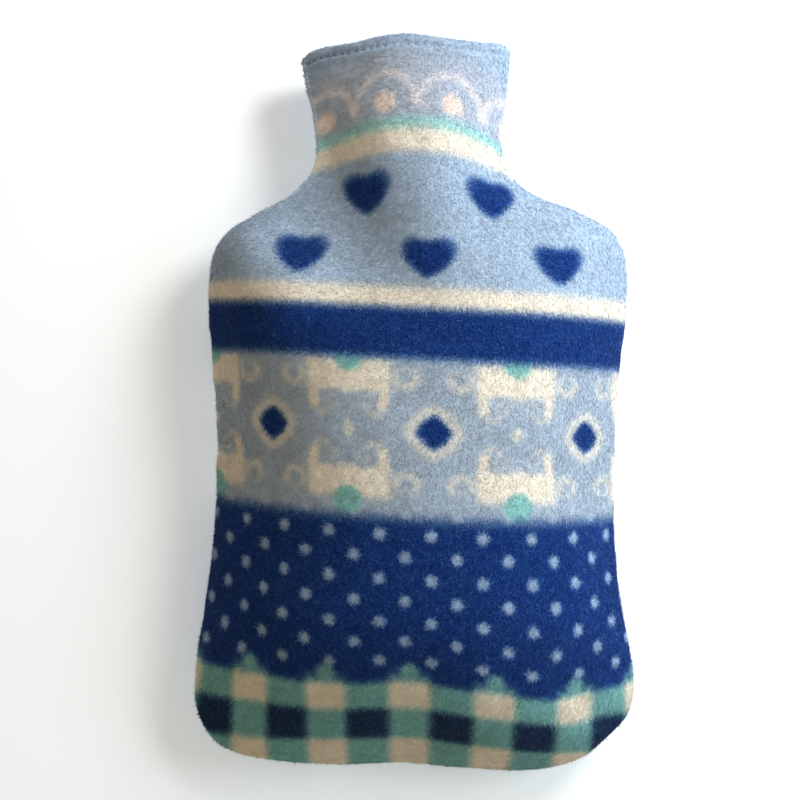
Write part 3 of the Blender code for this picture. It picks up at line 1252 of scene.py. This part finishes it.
class Chart:
    """The nodes of one material."""

    def __init__(self, name: str) -> None:
        """Starts a material without nodes.

        Args:
            name: What the material is, and how its surface was made.
        """
        self.material = bpy.data.materials.new(name)
        self.material.use_nodes = True
        self.tree = self.material.node_tree
        self.tree.nodes.clear()

    def node(self, kind: str, inputs: Mapping[int | str, Any] | None = None,
             **settings: Any) -> bpy.types.Node:
        """Adds a node.

        Args:
            kind: The node's type, without "ShaderNode".
            inputs: Sockets, by name or number, each with a value or with what feeds it.
            settings: The node's own settings.

        Returns:
            The node.
        """
        node = self.tree.nodes.new("ShaderNode" + kind)
        for key, value in settings.items():
            setattr(node, key, value)
        for key, value in (inputs or {}).items():
            value = value.socket if isinstance(value, Field) else value
            if isinstance(value, bpy.types.NodeSocket):
                self.tree.links.new(value, node.inputs[key])
            else:
                node.inputs[key].default_value = value
        return node

    def field(self, kind: str, inputs: Mapping[int | str, Any] | None = None,
              output: int | str = 0, **settings: Any) -> Field:
        """Adds a node and takes one of its outputs as a field.

        Args:
            kind: The node's type, without "ShaderNode".
            inputs: Sockets, each with a value or with what feeds it.
            output: The output's name or number.
            settings: The node's own settings.

        Returns:
            The field.
        """
        return Field(self, self.node(kind, inputs, **settings).outputs[output])

    def plain(self, ink: Ink, depth: float = 1.0) -> Field:
        """One colour all over.

        Args:
            ink: The colour.
            depth: Root that is taken of its linear parts; above 1, colours blend as dyes do.

        Returns:
            The colour as a field.
        """
        node = self.node("RGB")
        node.outputs[0].default_value = [part ** (1 / depth) for part in linear(ink.value)]
        return Field(self, node.outputs[0])

    def ended(self, inputs: Mapping[int | str, Any]) -> bpy.types.Material:
        """Ends the chart with its shader.

        Args:
            inputs: The shader's sockets, each with a value or with what feeds it.

        Returns:
            The material.
        """
        shader = self.node("BsdfPrincipled", inputs)
        self.node("OutputMaterial", {"Surface": shader.outputs[0]})
        return self.material


class Field:
    """A number or colour that varies over the cloth, with arithmetic that adds nodes."""

    def __init__(self, chart: Chart, socket: bpy.types.NodeSocket) -> None:
        """Wraps a node's output."""
        self.chart = chart
        self.socket = socket

    def math(self, operation: str, *others: Field | float) -> Field:
        """Works out an operation on this field and others."""
        return self.chart.field("Math", dict(enumerate((self, *others))), operation=operation)

    def __add__(self, other: Field | float) -> Field:
        """The sum."""
        return self.math("ADD", other)

    def __sub__(self, other: Field | float) -> Field:
        """The difference."""
        return self.math("SUBTRACT", other)

    def __mul__(self, other: Field | float) -> Field:
        """The product."""
        return self.math("MULTIPLY", other)

    def __truediv__(self, other: Field | float) -> Field:
        """The ratio."""
        return self.math("DIVIDE", other)

    def __pow__(self, other: float) -> Field:
        """The power."""
        return self.math("POWER", other)

    def __abs__(self) -> Field:
        """The size without its sign."""
        return self.math("ABSOLUTE")

    def flipped(self) -> Field:
        """1 minus the field."""
        return self.chart.field("Math", {0: 1.0, 1: self}, operation="SUBTRACT")

    def wrapped(self, period: float) -> Field:
        """The distance to the nearest multiple of period, with its sign."""
        return self.math("WRAP", period / 2, -period / 2)

    def off(self, other: Field) -> Field:
        """The square of the distance from 0 of the place whose coordinates are the two fields."""
        return self * self + other * other

    def most(self, *others: Field) -> Field:
        """The greatest of this field and others."""
        return reduce(lambda most, other: most.math("MAXIMUM", other), others, self)

    def rises(self, at: float, blur: float, ends: tuple[float, float] = (0.0, 1.0)) -> Field:
        """A soft step where the field passes a value.

        Args:
            at: The value.
            blur: How far to both sides of it the step reaches.
            ends: What the step goes from and to.

        Returns:
            The step.
        """
        return self.chart.field("MapRange", {"Value": self, "From Min": at - blur, "From Max": at + blur,
                                             "To Min": ends[0], "To Max": ends[1]},
                                interpolation_type="SMOOTHSTEP")

    def falls(self, at: float, blur: float) -> Field:
        """Goes softly from 1 to 0 where the field passes a value."""
        return self.rises(at, blur, (1.0, 0.0))

    def over(self, under: Field, mask: Field) -> Field:
        """Lays this colour over another where the mask is 1."""
        return self.chart.field("Mix", {"Factor": mask, 6: under, 7: self}, output=2, data_type="RGBA")

    def shaded(self, shade: Field) -> Field:
        """This colour times a number."""
        return self.chart.field("VectorMath", {0: self, 3: shade}, operation="SCALE")


class Ink(Enum):
    """The colours of the print and of the plain pieces, as sRGB."""

    CREAM = "#e9e1d6"
    DARK_BLUE = "#12357a"
    PALE_BLUE = "#a5b8d0"
    SCROLL_BLUE = "#a7b6c9"
    MINT = "#88bfbe"
    PALE_MINT = "#9fcdcf"
    GINGHAM_MINT = "#7bb4b6"
    LILAC = "#b0b9cb"
    LACE = "#e3dce0"
    LACE_DOT = "#e8d9d2"
    DOT = "#99afcf"
    CHECK = "#e9e0d1"
    DARK_CHECK = "#142f55"
    REVERSE = "#d6d6dc"
    THREAD = "#b9c6da"
    BOARD = "#fbfbfb"


class Edge(NamedTuple):
    """A soft edge: where it lies, and how far it blurs to both sides."""

    at: float
    blur: float


@dataclass(frozen=True)
class Dyes:
    """Inks in one material, which blend as dyes do, so that a dark one's edge is a clear blue."""

    chart: Chart
    depth: float

    def plain(self, ink: Ink) -> Field:
        """An ink all over."""
        return self.chart.plain(ink, self.depth)

    def printed(self, ink: Ink, ground: Field | Ink, mask: Field) -> Field:
        """Prints an ink on a ground.

        Args:
            ink: The ink.
            ground: What it is printed on.
            mask: 1 where the ink is.

        Returns:
            Both.
        """
        ground = self.plain(ground) if isinstance(ground, Ink) else ground
        return self.plain(ink).over(ground, mask)


@dataclass(frozen=True)
class Band:
    """A band of the print, here in one ink.

    Sizes are in millimetres on the cloth: p runs across it, and q up it, with the mouth's fold at 0.
    A spot's edge is given by the square of its radius.
    """

    end: float                    # where the next band below takes over
    ground: Ink
    soft: float = 3.1

    def drawn(self, dyes: Dyes, p: Field, q: Field) -> Field:
        """Draws the band as if it covered the whole cloth.

        Args:
            dyes: The material's inks.
            p: The place across the cloth; not used by a plain band.
            q: The place up it; not used by a plain band.

        Returns:
            The colour.
        """
        return dyes.plain(self.ground)


@dataclass(frozen=True)
class Lace(Band):
    """The hem's row of arches, with a dot in each and a drop where they meet."""

    ground: Ink = Ink.PALE_BLUE
    low_ground: Edge = Edge(-9.0, 5.0)            # under it, the ground turns to lilac
    pitch: float = 30.3
    middle: tuple[float, float] = (16.5, -32.5)   # of an arch's round
    radius: float = 14.4
    line: Edge = Edge(1.9, 1.9)
    foot: Edge = Edge(-1.5, 1.2)
    arch_strength: float = 0.7
    drop_height: float = 1.2
    drop_squeeze: float = 0.7
    drop: Edge = Edge(7.5, 7.0)
    drop_strength: float = 0.9
    dot_height: float = 1.0
    dot: Edge = Edge(26.0, 20.0)

    def drawn(self, dyes: Dyes, p: Field, q: Field) -> Field:
        """Draws the lace.

        Args:
            dyes: The material's inks.
            p: The place across the cloth.
            q: The place up it.

        Returns:
            The colour.
        """
        x, y = (p - self.middle[0]).wrapped(self.pitch), q - self.middle[1]
        arch = abs(x.off(y) ** 0.5 - self.radius).falls(*self.line) * y.rises(*self.foot)
        drop = (abs(x) - self.pitch / 2).off(y * self.drop_squeeze - self.drop_height).falls(*self.drop)
        laced = (arch * self.arch_strength).most(drop * self.drop_strength)
        colour = dyes.printed(Ink.LILAC, self.ground, q.falls(*self.low_ground))
        colour = dyes.printed(Ink.LACE, colour, laced)
        return dyes.printed(Ink.LACE_DOT, colour, x.off(y - self.dot_height).falls(*self.dot))


@dataclass(frozen=True)
class Hearts(Band):
    """Two staggered rows of hearts."""

    ground: Ink = Ink.PALE_BLUE
    split: Edge = Edge(-87.4, 0.01)               # over it, the upper row's
    pitch: float = 59.2
    middle: tuple[float, float] = (5.6, -104.0)
    step: float = 30.1                            # from row to row, across and up
    half_width: float = 11.4
    half_height: float = 8.0
    taller: float = 1.7                           # how much larger that is in the upper row
    lift: float = 0.1
    notch: float = 0.64
    notch_round: float = 0.04
    edge: Edge = Edge(1.0, 0.6)                   # in half sizes
    reach: Edge = Edge(98.0, 1.0)                 # no hearts are further out
    upper_reach: float = 30.0

    def drawn(self, dyes: Dyes, p: Field, q: Field) -> Field:
        """Draws the hearts.

        Args:
            dyes: The material's inks.
            p: The place across the cloth.
            q: The place up it.

        Returns:
            The colour.
        """
        upper = q.rises(*self.split)
        x = (p - self.middle[0] + upper * self.step).wrapped(self.pitch) / self.half_width
        y = (q - self.middle[1] - upper * self.step) / (upper * self.taller + self.half_height)
        lobe = y + self.lift - ((x * x + self.notch_round) ** 0.5) * self.notch
        heart = x.off(lobe).falls(*self.edge)
        heart = heart * (abs(p) + upper * self.upper_reach).falls(*self.reach)
        return dyes.printed(Ink.DARK_BLUE, self.ground, heart)


class Arc(NamedTuple):
    """A curled line: the middle and radius of its round, its edge, its end and its strength."""

    middle: tuple[float, float]
    radius: float
    line: Edge
    cut: Edge
    strength: float

    def mask(self, x: Field, y: Field) -> Field:
        """Draws the line.

        Args:
            x: The place across.
            y: The place up.

        Returns:
            The share of the ink at it.
        """
        off = abs((x - self.middle[0]).off(y - self.middle[1]) ** 0.5 - self.radius)
        return off.falls(*self.line) * y.falls(*self.cut) * self.strength


@dataclass(frozen=True)
class Scrolls(Band):
    """Blocks with curled feet, hooks, discs and lozenges, mirrored both ways."""

    ground: Ink = Ink.SCROLL_BLUE
    soft: float = 4.6
    pitch: float = 74.0
    middle: tuple[float, float] = (44.5, -179.2)
    squeeze: float = 1.07
    block_side: Edge = Edge(18.8, 2.6)
    block_foot: Edge = Edge(16.2, 2.8)
    block_top: Edge = Edge(31.5, 2.8)
    hollow_middle: tuple[float, float] = (7.2, 12.2)
    hollow: Edge = Edge(5.2, 2.0)
    curl_radius: float = 2.6
    curl: Edge = Edge(1.0, 1.4)
    curl_strength: float = 0.3
    leg_lean: float = 0.12
    leg_outside: Edge = Edge(16.2, 1.7)
    leg_inside: Edge = Edge(11.4, 1.6)
    leg_foot: Edge = Edge(8.2, 2.8)
    leg_top: Edge = Edge(19.0, 1.0)
    claw: Arc = Arc((11.6, 9.4), 3.0, Edge(1.3, 1.5), Edge(9.4, 2.0), 0.55)
    hook: Arc = Arc((25.0, 24.6), 4.6, Edge(1.8, 1.7), Edge(27.6, 3.0), 0.66)
    lozenge_size: tuple[float, float] = (3.1, 4.4)
    lozenge: Edge = Edge(1.0, 0.5)
    lozenge_strength: float = 0.75
    ring_squeeze: tuple[float, float] = (0.93, 0.96)
    ring_power: float = 1.5                       # between a lozenge, 1, and a circle, 2
    ring_radius: float = 9.8
    ring: Edge = Edge(2.3, 2.3)
    ring_strength: float = 0.72
    disc_height: float = 33.0
    disc: Edge = Edge(42.0, 20.0)
    centre_power: float = 1.35
    centre: Edge = Edge(14.8, 6.0)

    def drawn(self, dyes: Dyes, p: Field, q: Field) -> Field:
        """Draws the scrolls.

        Args:
            dyes: The material's inks.
            p: The place across the cloth.
            q: The place up it.

        Returns:
            The colour.
        """
        x = abs((p - self.middle[0]).wrapped(self.pitch))
        y = abs(q - self.middle[1]) * self.squeeze
        hollow = (x - self.hollow_middle[0]).off(y - self.hollow_middle[1]) ** 0.5
        block = (x.falls(*self.block_side) * y.rises(*self.block_foot) * y.falls(*self.block_top)
                 * hollow.rises(*self.hollow))
        lean = x - y * self.leg_lean
        leg = (lean.falls(*self.leg_outside) * lean.rises(*self.leg_inside) * y.rises(*self.leg_foot)
               * y.falls(*self.leg_top))
        curl = abs(hollow - self.curl_radius).falls(*self.curl) * self.curl_strength
        lozenge = (x / self.lozenge_size[0] + y / self.lozenge_size[1]).falls(*self.lozenge)
        far = abs(x - self.pitch / 2)
        wide, high = far * self.ring_squeeze[0], y * self.ring_squeeze[1]
        around = (wide ** self.ring_power + high ** self.ring_power) ** (1 / self.ring_power)
        ring = abs(around - self.ring_radius).falls(*self.ring) * self.ring_strength
        pale = block.most(leg, curl, self.claw.mask(x, y), self.hook.mask(x, y),
                          lozenge * self.lozenge_strength, ring)
        colour = dyes.printed(Ink.CREAM, self.ground, pale)
        colour = dyes.printed(Ink.MINT, colour, x.off(y - self.disc_height).falls(*self.disc))
        centre = (far ** self.centre_power + y ** self.centre_power).falls(*self.centre)
        return dyes.printed(Ink.DARK_BLUE, colour, centre)


@dataclass(frozen=True)
class Columns:
    """The gingham's pale columns: the middle of one, their pitch and their edge."""

    middle: float = -2.8
    pitch: float = 37.2
    edge: Edge = Edge(9.3, 3.0)


@dataclass(frozen=True)
class Dots(Band):
    """Seven staggered rows of small dots, and a mint peak over each pale check."""

    ground: Ink = Ink.DARK_BLUE
    soft: float = 4.6
    pitch: tuple[float, float] = (22.2, 9.62)
    middle: tuple[float, float] = (6.5, -223.4)
    dot: Edge = Edge(7.0, 7.0)
    last: Edge = Edge(-285.6, 1.0)
    columns: Columns = Columns()
    peak_height: float = -287.2
    peak_squeeze: tuple[float, float] = (0.8, 0.75)
    peak: Edge = Edge(11.0, 12.0)

    def drawn(self, dyes: Dyes, p: Field, q: Field) -> Field:
        """Draws the dots.

        Args:
            dyes: The material's inks.
            p: The place across the cloth.
            q: The place up it.

        Returns:
            The colour.
        """
        wide, high = self.pitch
        below = q - self.middle[1]
        row = ((below - high / 2) / -high).math("FLOOR")
        x = (p - self.middle[0] + row.math("MODULO", 2.0) * (wide / 2)).wrapped(wide)
        dot = x.off(below.wrapped(high)).falls(*self.dot) * q.rises(*self.last)
        colour = dyes.printed(Ink.DOT, self.ground, dot)
        x = (p - self.columns.middle).wrapped(self.columns.pitch) * self.peak_squeeze[0]
        y = (q - self.peak_height) * self.peak_squeeze[1]
        return dyes.printed(Ink.GINGHAM_MINT, colour, x.off(y).falls(*self.peak))


@dataclass(frozen=True)
class Gingham(Band):
    """The checks: pale and dark where the columns and rows cross, mint in between."""

    ground: Ink = Ink.GINGHAM_MINT
    columns: Columns = Columns()
    rows: tuple[tuple[float, Edge], ...] = ((-299.9, Edge(7.6, 3.0)), (-338.6, Edge(11.6, 3.0)))
    darker: Edge = Edge(-300.0, 3.0)              # under it, the dark checks are nearly black

    def drawn(self, dyes: Dyes, p: Field, q: Field) -> Field:
        """Draws the checks.

        Args:
            dyes: The material's inks.
            p: The place across the cloth.
            q: The place up it.

        Returns:
            The colour.
        """
        column = abs((p - self.columns.middle).wrapped(self.columns.pitch)).falls(*self.columns.edge)
        first, *rest = (abs(q - middle).falls(*edge) for middle, edge in self.rows)
        row = first.most(*rest)
        colour = dyes.printed(Ink.CHECK, self.ground, column * row)
        dark = dyes.printed(Ink.DARK_BLUE, Ink.DARK_CHECK, q.rises(*self.darker))
        return dark.over(colour, column.flipped() * row.flipped())


@dataclass(frozen=True)
class Fleece:
    """Polyester fleece, knitted and brushed, in one plain colour.

    Its nap gives the eye a matt surface with a faint pale glow at a low angle. It is mottled where
    the fibres lie another way, and pale specks show where they are bare. The fine mottling is in
    the depth of the ink, so it shows most on the dark ones. On the nap's fibres the ink is darkened
    at the root as painted shade and lightened at the tip as painted light. Sizes are in millimetres.
    """

    name: str = "brushed polyester fleece, unprinted reverse"
    ground: Ink = Ink.REVERSE
    depth: float = 3.0
    bumps: float = 0.8            # height of the tufts
    cloud: float = 9.09           # size of the broad mottles
    tuft: float = 1.25
    clump: float = 2.5
    speck: float = 0.9091
    speck_edge: Edge = Edge(0.61, 0.08)
    speck_strength: float = 0.18
    ink_strength: float = 1.36    # before the tufts thin it and the fibres' flecks, with painted root shade and tip light, change it
    tuft_thins: float = 0.6
    # How much a fibre's fleck changes the ink; the fleck holds painted shade at the root and painted light
    # at the tip.
    fleck_and_painted_shade_weight: float = 0.16
    cloud_shade: tuple[float, float] = (0.2, 0.93)        # its range and its least
    clump_height: float = 1.2     # as a share of a tuft's
    bump_strength: float = 0.3
    roughness: float = 0.95
    specular: float = 0.1         # the nap scatters nearly all of the polyester's gloss
    sheen: float = 0.08
    sheen_roughness: float = 0.5
    sheen_tint: tuple[float, float, float, float] = (0.85, 0.9, 1.0, 1.0)

    def colour(self, dyes: Dyes, place: Field) -> Field:
        """The ink at each place of the cloth."""
        return dyes.plain(self.ground)

    def material(self) -> bpy.types.Material:
        """Makes the material.

        Returns:
            The material, for a mesh with a map "Print" in millimetres on the cloth.
        """
        chart = Chart(self.name)
        dyes = Dyes(chart, self.depth)
        place = chart.field("UVMap", uv_map="Print")
        broad = chart.field("TexNoise", {"Vector": place, "Scale": 1 / self.cloud, "Detail": 2.0})
        fine = chart.field("TexNoise", {"Vector": place, "Scale": 1 / self.tuft, "Detail": 3.0,
                                        "Roughness": 0.7})
        coarse = chart.field("TexNoise", {"Vector": place, "Scale": 1 / self.clump, "Detail": 2.0})
        bare = chart.field("TexNoise", {"Vector": place, "Scale": 1 / self.speck, "Detail": 2.0,
                                        "Distortion": 1.0})
        # Each fibre's fleck: its own random shade, with painted shade at its root and painted light at its
        # tip; 0 on the skin.
        fleck_and_painted_shade = chart.field("Attribute", output="Fac", attribute_name="FleckAndPaintedShade")
        specks = bare.rises(*self.speck_edge) * self.speck_strength
        ink = dyes.printed(Ink.PALE_BLUE, self.colour(dyes, place), specks)
        strength = fine * -self.tuft_thins + fleck_and_painted_shade * -self.fleck_and_painted_shade_weight + self.ink_strength
        ink = chart.field("Gamma", {"Color": ink, "Gamma": strength * self.depth})
        bump = chart.field("Bump", {"Height": fine + coarse * self.clump_height,
                                    "Strength": self.bump_strength, "Distance": self.bumps * MM})
        return chart.ended({"Base Color": ink.shaded(broad * self.cloud_shade[0] + self.cloud_shade[1]),
                            "Normal": bump, "Roughness": self.roughness,
                            "Specular IOR Level": self.specular, "Sheen Weight": self.sheen,
                            "Sheen Roughness": self.sheen_roughness, "Sheen Tint": self.sheen_tint})


@dataclass(frozen=True)
class PrintedFleece(Fleece):
    """The front of the fleece, with its print of bands.

    The inks were printed on the nap, so the fibres carry them over every edge: the eye sees soft,
    feathered outlines. The bands stand from the bottom of the cover to its mouth.
    """

    name: str = "brushed polyester fleece, printed"
    bumps: float = 0.5
    feather: float = 1.1          # how far the fibres carry the ink
    feather_size: float = 1.1
    bands: tuple[Band, ...] = (
        Gingham(-400.0),
        Dots(-288.8),
        Scrolls(-216.6),
        Band(-148.0, Ink.DARK_BLUE),
        Band(-126.3, Ink.CREAM),
        Hearts(-116.5),
        Band(-54.8, Ink.CREAM),
        Band(-43.7, Ink.PALE_MINT),
        Lace(-38.6),
    )

    def colour(self, dyes: Dyes, place: Field) -> Field:
        """The print at each place of the cloth, feathered.

        Args:
            dyes: The material's inks.
            place: The place on the cloth.

        Returns:
            The colour.
        """
        chart = dyes.chart
        drift = chart.field("TexNoise", {"Vector": place, "Scale": 1 / self.feather_size, "Detail": 1.0},
                            output="Color")
        drift = chart.field("VectorMath", {0: drift, 1: (0.5, 0.5, 0.5)}, operation="SUBTRACT")
        moved = chart.field("VectorMath", {0: drift, 1: (self.feather * 2,) * 3, 2: place},
                            operation="MULTIPLY_ADD")
        split = chart.node("SeparateXYZ", {"Vector": moved})
        p, q = Field(chart, split.outputs["X"]), Field(chart, split.outputs["Y"])
        lowest, *others = self.bands
        colour = lowest.drawn(dyes, p, q)
        for band in others:
            colour = band.drawn(dyes, p, q).over(colour, q.rises(band.end, band.soft))
        return colour


@dataclass(frozen=True)
class SewingThread:
    """Spun polyester thread, twisted of two plies.

    The plies wind round each other and give the eye a row of slanting ridges with a faint gloss.
    The grooves between the ridges are darkened with painted shade.
    """

    name: str = "spun polyester sewing thread"
    ink: Ink = Ink.THREAD
    ply: float = 0.349            # from ridge to ridge, in millimetres
    waver: float = 1.5
    ridge: float = 0.1
    ridge_strength: float = 0.6
    shade: tuple[float, float] = (0.25, 0.8)      # painted shade in the grooves: its range, and its least between the ridges
    roughness: float = 0.6
    specular: float = 0.3

    def material(self) -> bpy.types.Material:
        """Makes the material.

        Returns:
            The material.
        """
        chart = Chart(self.name)
        place = chart.field("TexCoord", output="Object")
        scale = math.pi / 10 / (self.ply * MM)      # the wave has 20 radians a unit
        plies = chart.field("TexWave", {"Vector": place, "Scale": scale, "Distortion": self.waver})
        bump = chart.field("Bump", {"Height": plies, "Strength": self.ridge_strength,
                                    "Distance": self.ridge * MM})
        # The colour is darkened between the plies' ridges as painted shade.
        colour = chart.plain(self.ink).shaded(plies * self.shade[0] + self.shade[1])
        return chart.ended({"Base Color": colour, "Normal": bump, "Roughness": self.roughness,
                            "Specular IOR Level": self.specular})


@dataclass(frozen=True)
class StudioBoard:
    """The studio's matt board, painted, faintly uneven and lit a little from below.

    Its glow gives the eye a ground as white as paper, with a soft shadow round the cover.
    """

    name: str = "matt studio board"
    ink: Ink = Ink.BOARD
    grain: float = 1.43           # in millimetres
    shade: tuple[float, float] = (0.02, 0.99)     # its range and its least
    specular: float = 0.1
    glow: float = 0.35
    glow_colour: tuple[float, float, float, float] = (0.72, 0.86, 1.0, 1.0)
    roughness: float = 0.9

    def material(self) -> bpy.types.Material:
        """Makes the material.

        Returns:
            The material.
        """
        chart = Chart(self.name)
        place = chart.field("TexCoord", output="Object")
        grain = chart.field("TexNoise", {"Vector": place, "Scale": 1 / (self.grain * MM), "Detail": 2.0})
        colour = chart.plain(self.ink).shaded(grain * self.shade[0] + self.shade[1])
        return chart.ended({"Base Color": colour, "Roughness": self.roughness,
                            "Specular IOR Level": self.specular, "Emission Strength": self.glow,
                            "Emission Color": self.glow_colour})


# ---------------------------------------------------------------------------------------------
# Studio
# ---------------------------------------------------------------------------------------------


class Lamp(NamedTuple):
    """A soft box: where it stands, its size, its power in watts and its colour."""

    name: str
    at: tuple[float, float, float]
    aim: tuple[float, float, float]
    size: tuple[float, float]
    watts: float
    colour: tuple[float, float, float]


@dataclass(frozen=True)
class Studio:
    """The floor, the lights and the camera; lengths in metres."""

    lamps: tuple[Lamp, ...] = (
        Lamp("window", (0.38, 0.40, 0.36), (0.0, 0.0, 0.03), (0.26, 0.26), 3.9, (0.96, 1.0, 0.98)),
        Lamp("side", (0.54, 0.06, 0.36), (0.0, 0.0, 0.03), (0.26, 0.26), 2.1, (0.72, 0.88, 1.0)),
    )
    sky: float = 0.36
    sky_colour: tuple[float, float, float, float] = (1.0, 0.84, 0.59, 1.0)
    camera_at: tuple[float, float, float] = (-0.0066, 0.0046, 0.545)
    lens: float = 51.0
    sensor: float = 36.0
    nearest: float = 0.01
    floor_size: float = 4.0
    floor_drop: float = 0.0004
    board: StudioBoard = StudioBoard()

    def build(self) -> None:
        """Builds the floor, the lamps, the sky and the camera."""
        scene = bpy.context.scene
        half = self.floor_size / 2
        mesh = bpy.data.meshes.new("floor")
        corners = ((-half, -half), (half, -half), (half, half), (-half, half))
        mesh.from_pydata([(x, y, -self.floor_drop) for x, y in corners], [], [(0, 1, 2, 3)])
        mesh.materials.append(self.board.material())
        in_scene("floor", mesh)
        for lamp in self.lamps:
            data = bpy.data.lights.new(lamp.name, "AREA")
            data.shape = "RECTANGLE"
            data.size, data.size_y = lamp.size
            data.energy = lamp.watts
            data.color = lamp.colour
            light = in_scene(lamp.name, data)
            light.location = lamp.at
            way = Vector(lamp.aim) - Vector(lamp.at)
            light.rotation_euler = way.to_track_quat("-Z", "Y").to_euler()
        world = bpy.data.worlds.new("studio")
        world.use_nodes = True
        sky = world.node_tree.nodes["Background"]
        sky.inputs["Color"].default_value = self.sky_colour
        sky.inputs["Strength"].default_value = self.sky
        scene.world = world
        data = bpy.data.cameras.new("camera")
        data.lens, data.sensor_width, data.clip_start = self.lens, self.sensor, self.nearest
        scene.camera = in_scene("camera", data)
        scene.camera.location = self.camera_at
        scene.view_settings.view_transform = "Standard"


# ---------------------------------------------------------------------------------------------
# The cover
# ---------------------------------------------------------------------------------------------


class Materials(NamedTuple):
    """The cover's finishes: the cloth's two sides and the thread."""

    printed: bpy.types.Material
    reverse: bpy.types.Material
    thread: bpy.types.Material


@dataclass(frozen=True)
class Cut:
    """One of the cover's panels: its name, its cloth's flat size in metres, and its nap."""

    side: Side
    name: str
    flat: tuple[float, float]
    area: float
    nap: Nap

    def build(self, form: CoverForm, materials: Materials) -> None:
        """Args:
            form: The form in which the cover lies.
            materials: Its finishes.
        """
        panel = Panel(self.side, form)
        cloth = panel.build(f"{self.name}_fleece")
        cloth.data.materials.append(materials.printed)
        cloth.data.materials.append(materials.reverse)
        nap = self.nap.build(f"{self.name}_nap", cloth)
        nap.data.materials.append(materials.printed)
        stitches = HemStitching(panel).build(f"{self.name}_hem_stitching")
        stitches.data.materials.append(materials.thread)
        for piece in (cloth, nap, stitches):
            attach(piece, "root")
            LOG.info("%s: %d faces", piece.name, len(piece.data.polygons))
        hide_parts(f"{self.name}_panel")


CUTS: tuple[Cut, ...] = (
    Cut(Side.FRONT, "front", (0.262, 0.374), 0.072, Nap(count=185_000, seed=5)),
    Cut(Side.BACK, "back", (0.236, 0.366), 0.067, Nap(count=120_000, seed=6)),
)


def main() -> None:
    """Dresses the cover."""
    logging.basicConfig(level=logging.INFO, format="%(name)s: %(message)s")
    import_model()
    Studio().build()
    form = CoverForm()
    materials = Materials(PrintedFleece().material(), Fleece().material(), SewingThread().material())
    for cut in CUTS:
        cut.build(form, materials)


if __name__ == "__main__":
    main()
